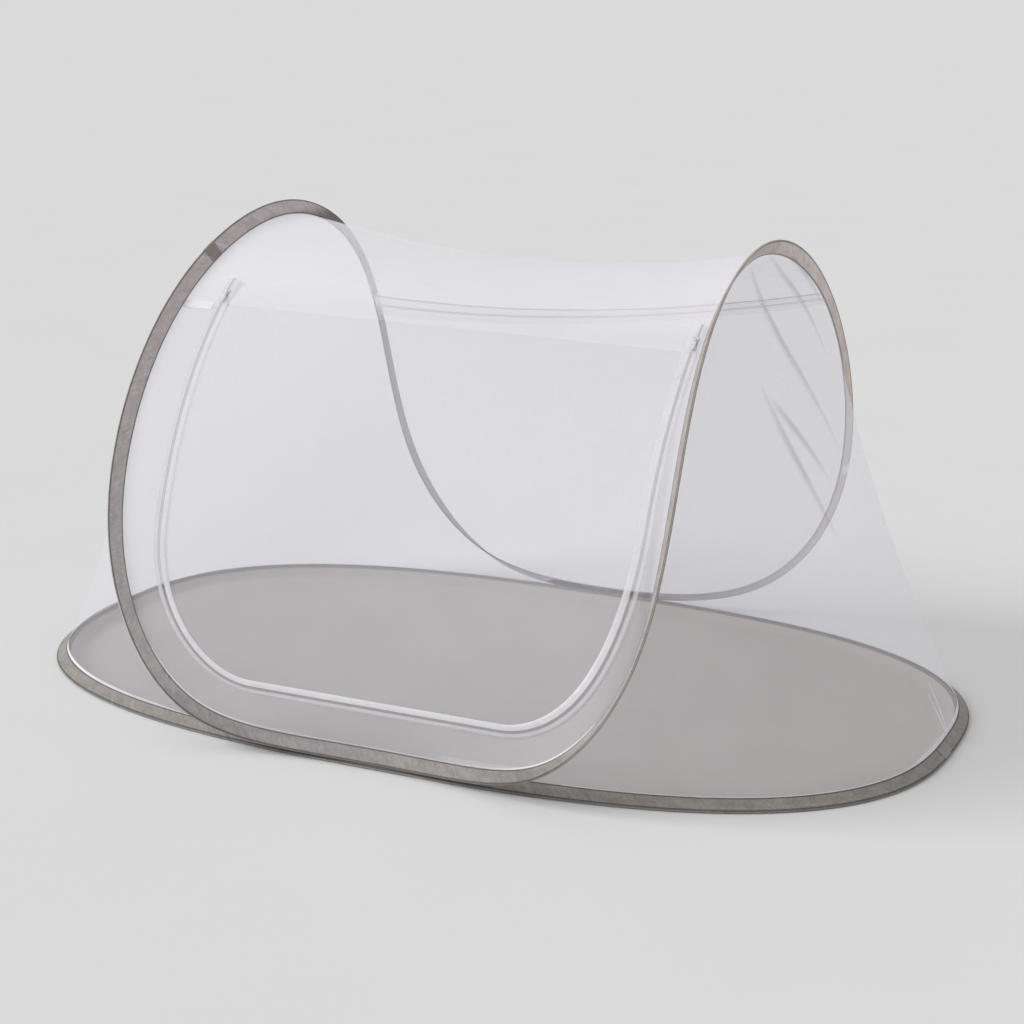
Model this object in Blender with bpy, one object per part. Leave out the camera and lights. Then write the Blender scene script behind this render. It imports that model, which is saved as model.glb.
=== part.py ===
import math

import bmesh
import bpy
import numpy as np

# Overall sizes, in metres. +X runs along the tent, the door is at -Y, the floor lies at Z = 0
HALF_LENGTH = 1.000
HALF_WIDTH = 0.626
ARCH_HEIGHT = 0.978
BASE_ROUNDNESS = 2.66
CLEARANCE = 0.0003

# Arch outline from the middle of the front hem to the top of the right arch: shares of
# HALF_LENGTH, HALF_WIDTH and ARCH_HEIGHT for the control points of one smooth curve
ARCH_SHARES = (
    (0.383, -1.102, 0.039),
    (0.555, -1.059, 0.272),
    (0.589, -0.979, 0.567),
    (0.562, -0.681, 0.893),
    (0.546, -0.233, 1.0),
    (0.546, 0.0, 1.0),
)
ARCH_FOOT_SHARE = 0.181

# Way that the arch tape's wire edge points at the same control points
FIN_SHARES = (
    (0.2, -0.75, -0.4),
    (0.4, -0.7, 0.3),
    (0.47, -0.40, 0.79),
    (0.45, -0.25, 0.86),
    (0.5, 0.0, 0.86),
    (0.5, 0.0, 0.86),
)

# Turn of that tape about its own run on the back legs, in degrees at even shares of the way up
RIGHT_BACK_TURNS = (0.0, 0.0, 6.0, 6.0, 0.0, -12.0, -24.0, -30.0, -28.0, -14.0, 0.0)
LEFT_BACK_TURNS = (0.0, 0.0, -5.0, -12.0, -17.0, -23.0, -27.0, -24.0, -14.0, -4.0, 0.0)

# Stations lie higher on the right back leg and lower on the left one, where the back seam ends
RIGHT_BACK_SHIFT = 0.050
LEFT_BACK_SHIFT = -0.0755
SHIFT_POWER = 1.5

# Stations round each hoop. The nets use the same ones, so their edges lie true in the tapes
QUARTER = 20
JUNCTION = 1
DOOR_STATION = 16
BACK_SEAM_STATION = 15

# Spring wire, its ferrule and the channel that the folded tape leaves for them
WIRE_RADIUS = 0.00125
WIRE_SIDES = 6
WIRE_END_GAP = 0.0006
FERRULE_PLAY = 0.00015
FERRULE_WALL = 0.0004
FERRULE_SIDES = 8
FERRULE_LENGTH = 0.030
BASE_FERRULE_STATION = 19
ARCH_FERRULE_STATION = 62

# Folded tapes
TAPE = 0.001
NET = 0.001
FLOOR = 0.001
ARCH_TAPE_WIDTH = 0.035
BASE_TAPE_INSET = 0.024
BASE_TAPE_RISE = 0.022
TUCK = 0.006
LIP = 0.001
FOOT_LIFT = 0.004

# Floor: how far in from the outline it lies flat
FLOOR_FLAT_INSET = 0.060

# Slack of the nets
ROOF_SAG = 0.065
BACK_SAG = 0.040
DOOR_SAG = 0.018
END_SAG = 0.012
SAG_CENTRE_SHARE = 0.36

# Door: its arc runs from the arches' mouths through two points, which are shares of HALF_WIDTH
# and ARCH_HEIGHT seen from the side
DOOR_BELLY_SHARE = (-0.963, 0.511)
DOOR_FOOT_SHARE = (-1.010, 0.133)
DOOR_LEFT_MARGIN = 0.083
DOOR_RIGHT_MARGIN = 0.018
LEFT_CORNER_WIDE = 0.210
LEFT_CORNER_HIGH = 0.300
RIGHT_CORNER_WIDE = 0.265
RIGHT_CORNER_HIGH = 0.420

# Zipper
COIL_GAP = 0.0008
COIL_WIDTH = 0.0022
COIL_HEIGHT = 0.0024
FRAME_TAPE_WIDTH = 0.009
DOOR_TAPE_WIDTH = 0.013
ZIPPER_TAPE = 0.0008
NET_UNDERLAP = 0.005
PARK_LENGTH = 0.068
FOLD_GAP = 0.0006
SLACK_PAST_TAPE = 0.002
STOP_LENGTH = 0.003
LEG_STEPS = 6
CORNER_STEPS = 7
BOTTOM_STEPS = 6
FINE_LEG_STEPS = 14
FINE_CORNER_STEPS = 12

# Slider and pull
SLIDER_LENGTH = 0.013
SLIDER_PARK = 0.030
SLIDER_WALL = 0.001
SLIDER_PLAY = 0.0004
SLIDER_LIP = 0.001
SLIDER_FLARE = 0.0008
NECK_WIDTH = 0.001
NECK_LENGTH = 0.0025
NECK_INSET = 0.0003
BRIDGE_SPAN = 0.006
BRIDGE_WIDTH = 0.0018
BRIDGE_THICK = 0.0009
PULL_THICK = 0.0012
PULL_ARM = 0.0014
PULL_EYE = 0.0046
PULL_LENGTH = 0.026
PULL_WIDTH = 0.0072

# Short wraps round the tapes, with their places counted in stations
COVER_PLAY = 0.0010
COVER_SHORT = 0.004
COVER_STEPS = 4
BASE_COVER_ROUND_SHARE = 0.08
COVER_LENGTH = 0.036
WRAP_LENGTH = 0.026
JOINT_COVER_STATION = 62.6
LEFT_WRAP_STATION = 55.0
RIGHT_WRAP_STATION = 31.0
BASE_COVER_STATION = 19.5

# Seam bands and hem tapes
BAND_THICK = 0.0006
BACK_BAND_SHARE = 0.36
FRONT_BAND_SHARE = 0.14
BAND_PLAY = 0.0005
BACK_BAND_PLAY = 0.0013
HEM_START = 0.004
HEM_SKIP = 4
HEM_WIDTH = 0.008

# Columns of the net panels
PANEL_COLUMNS = 10
MARGIN_COLUMNS = 3
END_COLUMNS = 4
DOOR_ROWS = 8
DOOR_CORNER_ROWS = 5
BRIDGE_STEPS = 6


def clear_scene():
    for old in list(bpy.data.objects):
        bpy.data.objects.remove(old)


def material(name, colour, roughness, metallic=0.0, alpha=1.0):
    made = bpy.data.materials.new(name)
    made.use_nodes = True
    shader = made.node_tree.nodes["Principled BSDF"]
    shader.inputs["Base Color"].default_value = (*colour, 1.0)
    shader.inputs["Roughness"].default_value = roughness
    shader.inputs["Metallic"].default_value = metallic
    shader.inputs["Alpha"].default_value = alpha
    return made


def unit(vectors):
    return vectors / np.linalg.norm(vectors, axis=-1, keepdims=True)


def add_object(name, points, faces, finish, origin=(0.0, 0.0, 0.0), smooth=True):
    """One closed solid. The points are in the world, and the origin is where its joint turns."""
    mesh = bpy.data.meshes.new(name)
    shifted = np.asarray(points, float) - np.asarray(origin, float)
    mesh.from_pydata([tuple(p) for p in shifted], [], [tuple(f) for f in faces])
    work = bmesh.new()
    work.from_mesh(mesh)
    bmesh.ops.recalc_face_normals(work, faces=work.faces)
    work.to_mesh(mesh)
    work.free()
    if smooth:
        mesh.shade_smooth()
        mesh.set_sharp_from_angle(angle=math.radians(40.0))
    mesh.materials.append(finish)
    made = bpy.data.objects.new(name, mesh)
    made.location = origin
    bpy.context.scene.collection.objects.link(made)
    return made


def sweep(name, sections, closed, finish, **more):
    """A solid through equal cross-sections: a ring when closed, capped at both ends when not.

    Each side is split from its corner nearer the section's first point, so that the two faces of
    a thin wall are split alike and stay apart where the wall twists.
    """
    sections = np.asarray(sections, float)
    count, sides = sections.shape[:2]
    away = np.linalg.norm(sections[0] - sections[0, 0], axis=1)
    faces = []
    for i in range(count if closed else count - 1):
        here = i * sides
        there = ((i + 1) % count) * sides
        for k in range(sides):
            after = (k + 1) % sides
            if away[k] <= away[after]:
                faces.append((here + k, here + after, there + after))
                faces.append((here + k, there + after, there + k))
            else:
                faces.append((here + k, here + after, there + k))
                faces.append((here + after, there + after, there + k))
    if not closed:
        faces.append(tuple(range(sides)))
        faces.append(tuple(range((count - 1) * sides, count * sides)))
    return add_object(name, sections.reshape(-1, 3), faces, finish, **more)


def grid_normals(grid):
    """Unit normals of a grid of points, from its neighbours."""
    down = np.gradient(grid, axis=0)
    along = np.gradient(grid, axis=1)
    return unit(np.cross(down, along))


def sheet(name, grid, thickness, finish, shift=0.0, **more):
    """A thin closed sheet round a grid of points, moved along its normals by shift.

    Both faces are split along the same diagonals, so they stay apart where the sheet twists.
    """
    grid = np.asarray(grid, float)
    normals = grid_normals(grid)
    rows, columns = grid.shape[:2]
    top = (grid + normals * (shift + thickness / 2)).reshape(-1, 3)
    low = (grid + normals * (shift - thickness / 2)).reshape(-1, 3)
    under = rows * columns
    faces = []
    for i in range(rows - 1):
        for k in range(columns - 1):
            a = i * columns + k
            b = a + 1
            c = a + columns + 1
            d = a + columns
            for corners in ((a, b, c), (a, c, d)):
                faces.append(corners)
                faces.append([under + corner for corner in reversed(corners)])
    edge = [k for k in range(columns)]
    edge += [i * columns + columns - 1 for i in range(1, rows)]
    edge += [(rows - 1) * columns + k for k in range(columns - 2, -1, -1)]
    edge += [i * columns for i in range(rows - 2, 0, -1)]
    for here, there in zip(edge, edge[1:] + edge[:1]):
        faces.append((here, there, under + there, under + here))
    return add_object(name, np.vstack([top, low]), faces, finish, **more)


def smooth_curve(points, shares):
    """Points of a clamped cubic B-spline at the given shares of its run."""
    points = np.asarray(points, float)
    degree = 3
    inner = np.linspace(0.0, 1.0, len(points) - degree + 1)[1:-1]
    knots = np.concatenate([np.zeros(degree + 1), inner, np.ones(degree + 1)])
    found = []
    for share in shares:
        span = min(np.searchsorted(knots, share, side="right") - 1, len(points) - 1)
        local = [points[span - degree + k] for k in range(degree + 1)]
        for level in range(1, degree + 1):
            for k in range(degree, level - 1, -1):
                low = knots[span - degree + k]
                high = knots[span + 1 + k - level]
                part = (share - low) / (high - low)
                local[k] = (1 - part) * local[k - 1] + part * local[k]
        found.append(local[degree])
    return np.array(found)


MIRRORS = np.array(((1.0, 1.0, 1.0), (1.0, -1.0, 1.0), (-1.0, -1.0, 1.0), (-1.0, 1.0, 1.0)))


def join_quarters(quarters):
    """A whole loop from its quarters, each counted from the middle of the front or back."""
    front_right, back_right, back_left, front_left = quarters
    return np.concatenate([front_right, back_right[-2::-1], back_left[1:], front_left[-2:0:-1]])


def loop_tangents(loop):
    return unit(np.roll(loop, -1, axis=0) - np.roll(loop, 1, axis=0))


# Sizes that follow from the wire: ferrule, channel and the tape's outer fold
FERRULE_IN = (WIRE_RADIUS + FERRULE_PLAY) / math.cos(math.pi / FERRULE_SIDES)
FERRULE_OUT = FERRULE_IN + FERRULE_WALL
CHANNEL = (FERRULE_OUT + CLEARANCE) * math.sqrt(2.0)
FOLD = CHANNEL + TAPE
MOUTH_IN = CLEARANCE + NET + CLEARANCE / 2
MOUTH_OUT = MOUTH_IN + TAPE
LAYER = (NET + CLEARANCE) / 2


class Hoop:
    """A folded tape round a wire: stations with the wire's place, the fold's way and the side's way."""

    def __init__(self, wire, fin, width):
        self.wire = wire
        tangents = loop_tangents(wire)
        flat = fin - (fin * tangents).sum(1, keepdims=True) * tangents
        self.fin = unit(flat)
        self.side = np.cross(tangents, self.fin)
        self.reach = width - FOLD

    def at(self, station, along, sideways):
        """The place that lies along from the wire towards the mouth, and sideways from the tape."""
        k = station % len(self.wire)
        return self.wire[k] - self.fin[k] * along + self.side[k] * sideways

    def between(self, share, along, sideways):
        """The same at a share of the way between two stations."""
        station = math.floor(share)
        part = share - station
        here = self.at(station, along, sideways)
        return here + (self.at(station + 1, along, sideways) - here) * part

    def seam(self, station, layer):
        """Two points of a net in the tape's mouth: tucked in, and just out of it."""
        inside = self.at(station, self.reach - TUCK, layer * LAYER)
        outside = self.at(station, self.reach + LIP, layer * LAYER)
        return inside, outside

    def section(self, station):
        outer = [
            (-FOLD * math.sin(turn), FOLD * math.cos(turn))
            for turn in np.linspace(0.0, math.pi, 5)
        ]
        lower = [(self.reach, -MOUTH_OUT), (self.reach, -MOUTH_IN)]
        inner = [(0.0, -CHANNEL), (-CHANNEL, 0.0), (0.0, CHANNEL)]
        upper = [(self.reach, MOUTH_IN), (self.reach, MOUTH_OUT)]
        return [self.at(station, along, aside) for along, aside in outer + lower + inner + upper]

    def ring(self, station, radius, sides, start=None):
        """A round section of the wire, about its station or about another point."""
        k = station % len(self.wire)
        centre = self.wire[k] if start is None else start
        turns = [2 * math.pi * step / sides for step in range(sides)]
        return [
            centre + radius * (math.cos(t) * self.fin[k] + math.sin(t) * self.side[k]) for t in turns
        ]


def base_hoop():
    """The oval hoop on the ground. Its tape leans in and up from the wire."""
    turns = np.linspace(0.0, math.pi / 2, QUARTER + 1)
    power = 2.0 / BASE_ROUNDNESS
    across = HALF_LENGTH * np.abs(np.sin(turns)) ** power
    deep = -HALF_WIDTH * np.abs(np.cos(turns)) ** power
    across[0] = 0.0
    deep[-1] = 0.0
    quarter = np.stack([across, deep, np.zeros(QUARTER + 1)], axis=1)
    outline = join_quarters([quarter * mirror for mirror in MIRRORS])
    tangents = loop_tangents(outline)
    outward = np.cross(tangents, (0.0, 0.0, 1.0))
    wire = outline - outward * FOLD + np.array((0.0, 0.0, FOLD))
    lean_in = BASE_TAPE_INSET - FOLD
    lean_up = BASE_TAPE_RISE - FOLD
    fin = outward * lean_in + np.array((0.0, 0.0, -lean_up))
    return Hoop(wire, unit(fin), math.hypot(lean_in, lean_up) + FOLD)


def arch_hoop(base):
    """The saddle-shaped hoop: it lies on the base tape at front and back, and rises as both arches."""
    foot_wire = base.at(0, FOOT_LIFT, -(2 * FOLD + CLEARANCE))
    half = ARCH_TAPE_WIDTH / 2
    foot = foot_wire - base.fin[0] * (half - FOLD)
    scale = np.array((HALF_LENGTH, HALF_WIDTH, ARCH_HEIGHT))
    second = foot + np.array((ARCH_FOOT_SHARE * HALF_LENGTH, 0.0, 0.0))
    line = np.vstack([foot, second, np.array(ARCH_SHARES) * scale])
    fins = np.vstack([base.fin[0], base.fin[0], np.array(FIN_SHARES)])
    even = np.linspace(0.0, 1.0, QUARTER + 1)
    bump = np.sin(math.pi * even**SHIFT_POWER) ** 2
    shifts = (0.0, RIGHT_BACK_SHIFT, LEFT_BACK_SHIFT, 0.0)
    runs = [even + shift * bump for shift in shifts]
    centre = join_quarters([smooth_curve(line, run) * way for run, way in zip(runs, MIRRORS)])
    fin = join_quarters([smooth_curve(fins, run) * way for run, way in zip(runs, MIRRORS)])
    tangents = loop_tangents(centre)
    fin = unit(fin - (fin * tangents).sum(1, keepdims=True) * tangents)
    places = np.linspace(0.0, 1.0, len(RIGHT_BACK_TURNS))
    back_right = np.interp(runs[1], places, RIGHT_BACK_TURNS)
    back_left = np.interp(runs[2], places, LEFT_BACK_TURNS)
    straight = np.zeros(QUARTER + 1)
    turns = (straight, back_right, back_left, straight)
    turn = np.radians(join_quarters(turns))[:, None]
    fin = fin * np.cos(turn) + np.cross(tangents, fin) * np.sin(turn)
    wire = centre + fin * (half - FOLD)
    return Hoop(wire, fin, ARCH_TAPE_WIDTH)


class DoorArc:
    """The round surface that the door lies on: across is X, down is the way along it from the fold."""

    def __init__(self, a):
        scale = np.array((HALF_WIDTH, ARCH_HEIGHT))
        b = np.array(DOOR_BELLY_SHARE) * scale
        c = np.array(DOOR_FOOT_SHARE) * scale
        rows = np.array((b - a, c - b))
        middles = np.array((((a + b) / 2) @ (b - a), ((b + c) / 2) @ (c - b)))
        self.centre = np.linalg.solve(rows, middles)
        self.radius = float(np.linalg.norm(a - self.centre))
        self.top = math.atan2(*(a - self.centre)[::-1])
        foot = math.atan2(*(c - self.centre)[::-1]) % (2 * math.pi)
        self.length = (foot - self.top) * self.radius

    def angle(self, down):
        return self.top + down / self.radius

    def at(self, across, down, out=0.0):
        turn = self.angle(down)
        reach = self.radius + out
        y = self.centre[0] + reach * math.cos(turn)
        z = self.centre[1] + reach * math.sin(turn)
        return np.array((across, y, z))

    def frame(self, down):
        """Ways across, down the arc and out of it."""
        turn = self.angle(down)
        along = np.array((0.0, -math.sin(turn), math.cos(turn)))
        out = np.array((0.0, math.cos(turn), math.sin(turn)))
        return np.array((1.0, 0.0, 0.0)), along, out


class DoorEdge:
    """The U of the zipper: two straight legs on the arc, two oval corners and the run between."""

    def __init__(self, arc, left, right):
        self.arc = arc
        self.sides = (
            (left, -1.0, LEFT_CORNER_WIDE, LEFT_CORNER_HIGH),
            (right, 1.0, RIGHT_CORNER_WIDE, RIGHT_CORNER_HIGH),
        )

    def half(self, side, top, leg_steps, corner_steps):
        """(across, down, way across, way down) from the leg's top to the end of its corner."""
        edge, sign, wide, high = self.sides[side]
        straight = self.arc.length - high
        found = [(edge, down, sign, 0.0) for down in np.linspace(top, straight, leg_steps + 1)]
        for step in range(1, corner_steps + 1):
            turn = math.pi / 2 * step / corner_steps
            across = edge - sign * wide * (1 - math.cos(turn))
            down = straight + high * math.sin(turn)
            way = unit(np.array((sign * math.cos(turn) * high, math.sin(turn) * wide)))
            found.append((across, down, *way))
        return found

    def path(self, top, leg_steps, corner_steps):
        left = self.half(0, top, leg_steps, corner_steps)
        right = self.half(1, top, leg_steps, corner_steps)
        low_left = left[-1][0]
        run = right[-1][0] - low_left
        bottom = [
            (low_left + run * step / BOTTOM_STEPS, self.arc.length, 0.0, 1.0)
            for step in range(1, BOTTOM_STEPS)
        ]
        return left + bottom + right[::-1]


def zipper_strip(arc, path, near, far, low, high):
    """Cross-sections of a strip beside the path, from near to far, between two heights."""
    return [
        [
            arc.at(across + way_x * wide, down + way_d * wide, out)
            for wide, out in ((near, low), (far, low), (far, high), (near, high))
        ]
        for across, down, way_x, way_d in path
    ]


def box_points(low, high):
    return [(x, y, z) for x in (low[0], high[0]) for y in (low[1], high[1]) for z in (low[2], high[2])]


BOX_FACES = ((0, 1, 3, 2), (4, 6, 7, 5), (0, 4, 5, 1), (2, 3, 7, 6), (0, 2, 6, 4), (1, 5, 7, 3))


def helper(name, points, faces):
    """A hidden shape for a Boolean."""
    made = add_object(name, points, faces, bpy.data.materials["cutter"], smooth=False)
    made.hide_render = True
    made.display_type = "WIRE"
    return made


def boolean(target, other, operation, solver="EXACT"):
    step = target.modifiers.new(other.name, "BOOLEAN")
    step.operation = operation
    step.solver = solver
    step.object = other


def interior_row(left, right, sag, columns):
    """A row of net between two seams, each (tucked, out), with its middle sunk along sag."""
    inner = []
    for step in range(1, columns):
        part = step / columns
        slack = 4 * part * (1 - part)
        inner.append(left[1] + (right[1] - left[1]) * part + sag * slack)
    return [left[0], left[1], *inner, right[1], right[0]]


def sag_way(point):
    """Unit way from a net's edge to the inside of the tent, square to its length."""
    towards = np.array((0.0, -point[1], SAG_CENTRE_SHARE * ARCH_HEIGHT - point[2]))
    return towards / np.linalg.norm(towards)


def build_hoops(base, arch, tape, steel):
    for name, hoop, joint in (
        ("base", base, BASE_FERRULE_STATION),
        ("arch", arch, ARCH_FERRULE_STATION),
    ):
        total = len(hoop.wire)
        sweep(f"{name}_binding", [hoop.section(k) for k in range(total)], True, tape)
        before = hoop.wire[joint]
        after = hoop.wire[(joint + 1) % total]
        way = unit(after - before)
        middle = (before + after) / 2
        stations = [(joint + 1 + k) % total for k in range(total)]
        rings = [hoop.ring(joint + 1, WIRE_RADIUS, WIRE_SIDES, middle + way * WIRE_END_GAP / 2)]
        rings += [hoop.ring(k, WIRE_RADIUS, WIRE_SIDES) for k in stations]
        rings.append(hoop.ring(joint, WIRE_RADIUS, WIRE_SIDES, middle - way * WIRE_END_GAP / 2))
        sweep(f"{name}_wire", rings, False, steel)
        build_ferrule(f"{name}_wire_ferrule", hoop, joint, middle, way, steel)


def build_ferrule(name, hoop, joint, middle, way, steel):
    """A short tube round the wire's two ends."""
    rims = []
    for reach in (-FERRULE_LENGTH / 2, FERRULE_LENGTH / 2):
        for radius in (FERRULE_IN, FERRULE_OUT):
            rims.append(hoop.ring(joint, radius, FERRULE_SIDES, middle + way * reach))
    inner_low, outer_low, inner_high, outer_high = rims
    sections = [
        [inner_low[k], outer_low[k], outer_high[k], inner_high[k]] for k in range(FERRULE_SIDES)
    ]
    sweep(name, sections, True, steel)


def build_floor(base, cloth):
    """Flat on the ground, and turned up at its edge into the base tape's mouth."""
    total = len(base.wire)
    rows = []
    for k in range(total):
        tucked, out = base.seam(k, 1.0)
        outward = unit(np.array((base.fin[k][0], base.fin[k][1], 0.0)))
        flat = base.wire[k] - outward * (FLOOR_FLAT_INSET - FOLD)
        rows.append((tucked, out, (flat[0], flat[1], FLOOR / 2)))
    rows = np.array(rows)
    down = np.roll(rows, -1, axis=0) - np.roll(rows, 1, axis=0)
    along = np.gradient(rows, axis=1)
    normals = unit(np.cross(along, down))
    normals[:, 2] = (0.0, 0.0, 1.0)
    normals[:, :2] *= np.sign(normals[:, :2, 2:3])
    top = (rows + normals * FLOOR / 2).reshape(-1, 3)
    low = (rows - normals * FLOOR / 2).reshape(-1, 3)
    under = len(top)
    faces = []
    for k in range(total):
        after = (k + 1) % total
        for c in range(2):
            here = k * 3 + c
            there = after * 3 + c
            for corners in ((here, there, there + 1), (here, there + 1, here + 1)):
                faces.append(corners)
                faces.append([under + corner for corner in reversed(corners)])
        faces.append((k * 3, after * 3, under + after * 3, under + k * 3))
    faces.append(tuple(k * 3 + 2 for k in range(total)))
    faces.append(tuple(under + k * 3 + 2 for k in range(total - 1, -1, -1)))
    add_object("floor_sheet", np.vstack([top, low]), faces, cloth)


def band_row(arch, station, sag):
    """A row of the band between the arches. Stations past QUARTER are on the back."""
    right = arch.seam(station, -1.0)
    left = arch.seam(4 * QUARTER - station, -1.0)
    return np.array(interior_row(left, right, sag_way(right[1]) * sag, PANEL_COLUMNS))


def roof_rows(arch):
    rows = []
    last = 2 * QUARTER - BACK_SEAM_STATION
    for station in range(DOOR_STATION, last + 1):
        if station <= QUARTER:
            part = (station - DOOR_STATION) / (QUARTER - DOOR_STATION)
            sag = ROOF_SAG * math.sin(part * math.pi / 2) ** 2
        else:
            part = (station - QUARTER) / (last - QUARTER)
            sag = ROOF_SAG + (BACK_SAG - ROOF_SAG) * math.sin(part * math.pi / 2) ** 2
        rows.append(band_row(arch, station, sag))
    return np.array(rows)


def back_rows(arch):
    first = 2 * QUARTER - BACK_SEAM_STATION
    rows = []
    for station in range(first, 2 * QUARTER):
        part = (2 * QUARTER - station) / (2 * QUARTER - first)
        rows.append(band_row(arch, station, BACK_SAG * part))
    return np.array(rows)


def shorten_edge(rows, amount):
    """The same rows with the first one drawn back along the net, for a gap at a seam."""
    way = unit(rows[1] - rows[0])
    drawn = rows.copy()
    drawn[0] = rows[0] + way * amount
    return drawn


def build_band(arch, arc, left, right, net, white):
    """Roof and back nets, with the band that doubles the seam between them."""
    roof = roof_rows(arch)
    back = back_rows(arch)
    seam_roof = shorten_edge(roof[::-1], FOLD_GAP / 2)[::-1]
    seam_back = shorten_edge(back, FOLD_GAP / 2)
    roof_net = sheet("roof_net", shorten_edge(seam_roof, FOLD_GAP), NET, net)
    sheet("back_net", seam_back, NET, net)
    for side, across in (("left", left), ("right", right)):
        half = COIL_GAP + COIL_WIDTH + CLEARANCE + NET_UNDERLAP
        low = arc.at(across, 0.0)
        wide, along, out = arc.frame(-PARK_LENGTH / 2)
        centre = arc.at(across, -PARK_LENGTH / 2)
        size = np.array((half, PARK_LENGTH / 2 + half, half))
        corners = [
            centre + wide * x + along * y + out * z for x, y, z in box_points(-size, size)
        ]
        cutter = helper(f"slot_{side}", corners, BOX_FACES)
        boolean(roof_net, cutter, "DIFFERENCE", "MANIFOLD")
    upper = seam_roof[-1] + (seam_roof[-2] - seam_roof[-1]) * BACK_BAND_SHARE
    lower = seam_back[0] + (seam_back[1] - seam_back[0]) * BACK_BAND_SHARE
    middle = (seam_roof[-1] + seam_back[0]) / 2
    band = np.array((upper, middle, lower))[:, 2:-2]
    shift = NET / 2 + BACK_BAND_PLAY + BAND_THICK / 2
    outwards = np.sign((grid_normals(band)[1, 1] * (0.0, 1.0, 1.0)).sum())
    sheet("back_seam_band", band, BAND_THICK, white, shift * outwards)


def build_front(arch, edge, net, white):
    """The net margin round the door, and the strip from the left arch to the zipper's upper end."""
    outer = COIL_GAP + COIL_WIDTH + CLEARANCE + FRAME_TAPE_WIDTH
    rows = []
    path = edge.path(0.0, LEG_STEPS, CORNER_STEPS)
    for step, (across, down, way_x, way_d) in enumerate(path):
        tucked, out = arch.seam(step - DOOR_STATION, -1.0)
        under = outer - NET_UNDERLAP
        past = outer + SLACK_PAST_TAPE
        inner = edge.arc.at(across + way_x * under, down + way_d * under)
        clear = edge.arc.at(across + way_x * past, down + way_d * past)
        row = [tucked]
        row += [out + (clear - out) * k / MARGIN_COLUMNS for k in range(MARGIN_COLUMNS + 1)]
        rows.append([*row, inner])
    rows = np.array(rows)
    sheet("front_net", rows, NET, net)
    line = rows[0][1:-1]
    reach = (rows[1][1:-1] - line) * FRONT_BAND_SHARE
    strip = np.array((line - reach, line, line + reach))
    strip[:, 0] += (strip[:, 1] - strip[:, 0]) * 2 * FRONT_BAND_SHARE
    outward = np.sign(-grid_normals(strip)[1, 1, 1])
    shift = NET / 2 + BAND_PLAY + BAND_THICK / 2
    sheet("front_seam_left", strip, BAND_THICK, white, shift * outward)


def build_ends(arch, base, net, white):
    """Nets from each arch to the end of the base, with the hem tape at the foot."""
    for side, first in (("right", JUNCTION), ("left", 2 * QUARTER + JUNCTION)):
        rows = []
        hem = []
        for station in range(first, first + 2 * (QUARTER - JUNCTION) + 1):
            high_in, high = arch.seam(station, 1.0)
            low_in, low = base.seam(station, -1.0)
            inward = unit(np.array((0.0, 0.0, SAG_CENTRE_SHARE * ARCH_HEIGHT)) - (high + low) / 2)
            row = [high_in]
            for k in range(END_COLUMNS + 1):
                part = k / END_COLUMNS
                row.append(high + (low - high) * part + inward * END_SAG * 4 * part * (1 - part))
            way = unit(row[-2] - row[-1])
            hem.append((low + way * HEM_START, low + way * (HEM_START + HEM_WIDTH)))
            row.insert(-1, low + way * (HEM_START + HEM_WIDTH + CLEARANCE))
            row.append(low_in)
            rows.append(row)
        rows = np.array(rows)
        sheet(f"{side}_end_net", rows, NET, net)
        hem = np.array(hem)[HEM_SKIP:-HEM_SKIP]
        middle = len(hem) // 2
        outward = np.sign(grid_normals(hem)[middle, 0, 0] * hem[middle, 0, 0])
        shift = NET / 2 + CLEARANCE + BAND_THICK / 2
        sheet(f"{side}_hem_tape", hem, BAND_THICK, white, shift * outward)


def build_door(edge, fold, net):
    """The flap inside the zipper's U. Its sides run under the door's tape."""
    under = COIL_GAP + COIL_WIDTH + CLEARANCE + DOOR_TAPE_WIDTH - NET_UNDERLAP
    arc = edge.arc
    sides = [edge.half(side, FOLD_GAP / 2, DOOR_ROWS, DOOR_CORNER_ROWS) for side in (0, 1)]
    grid = []
    for low, high in zip(*sides):
        start, end = (arc.at(x - way_x * under, down - way_d * under) for x, down, way_x, way_d in (low, high))
        down = (low[1] + high[1]) / 2
        line = []
        for k in range(PANEL_COLUMNS + 1):
            part = k / PANEL_COLUMNS
            point = start + (end - start) * part
            slack = 4 * part * (1 - part) * DOOR_SAG * math.sin(math.pi * down / arc.length)
            line.append(point + sag_way(point) * max(slack, 0.0))
        grid.append(line)
    sheet("door_net", grid, NET, net, origin=fold)


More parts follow.
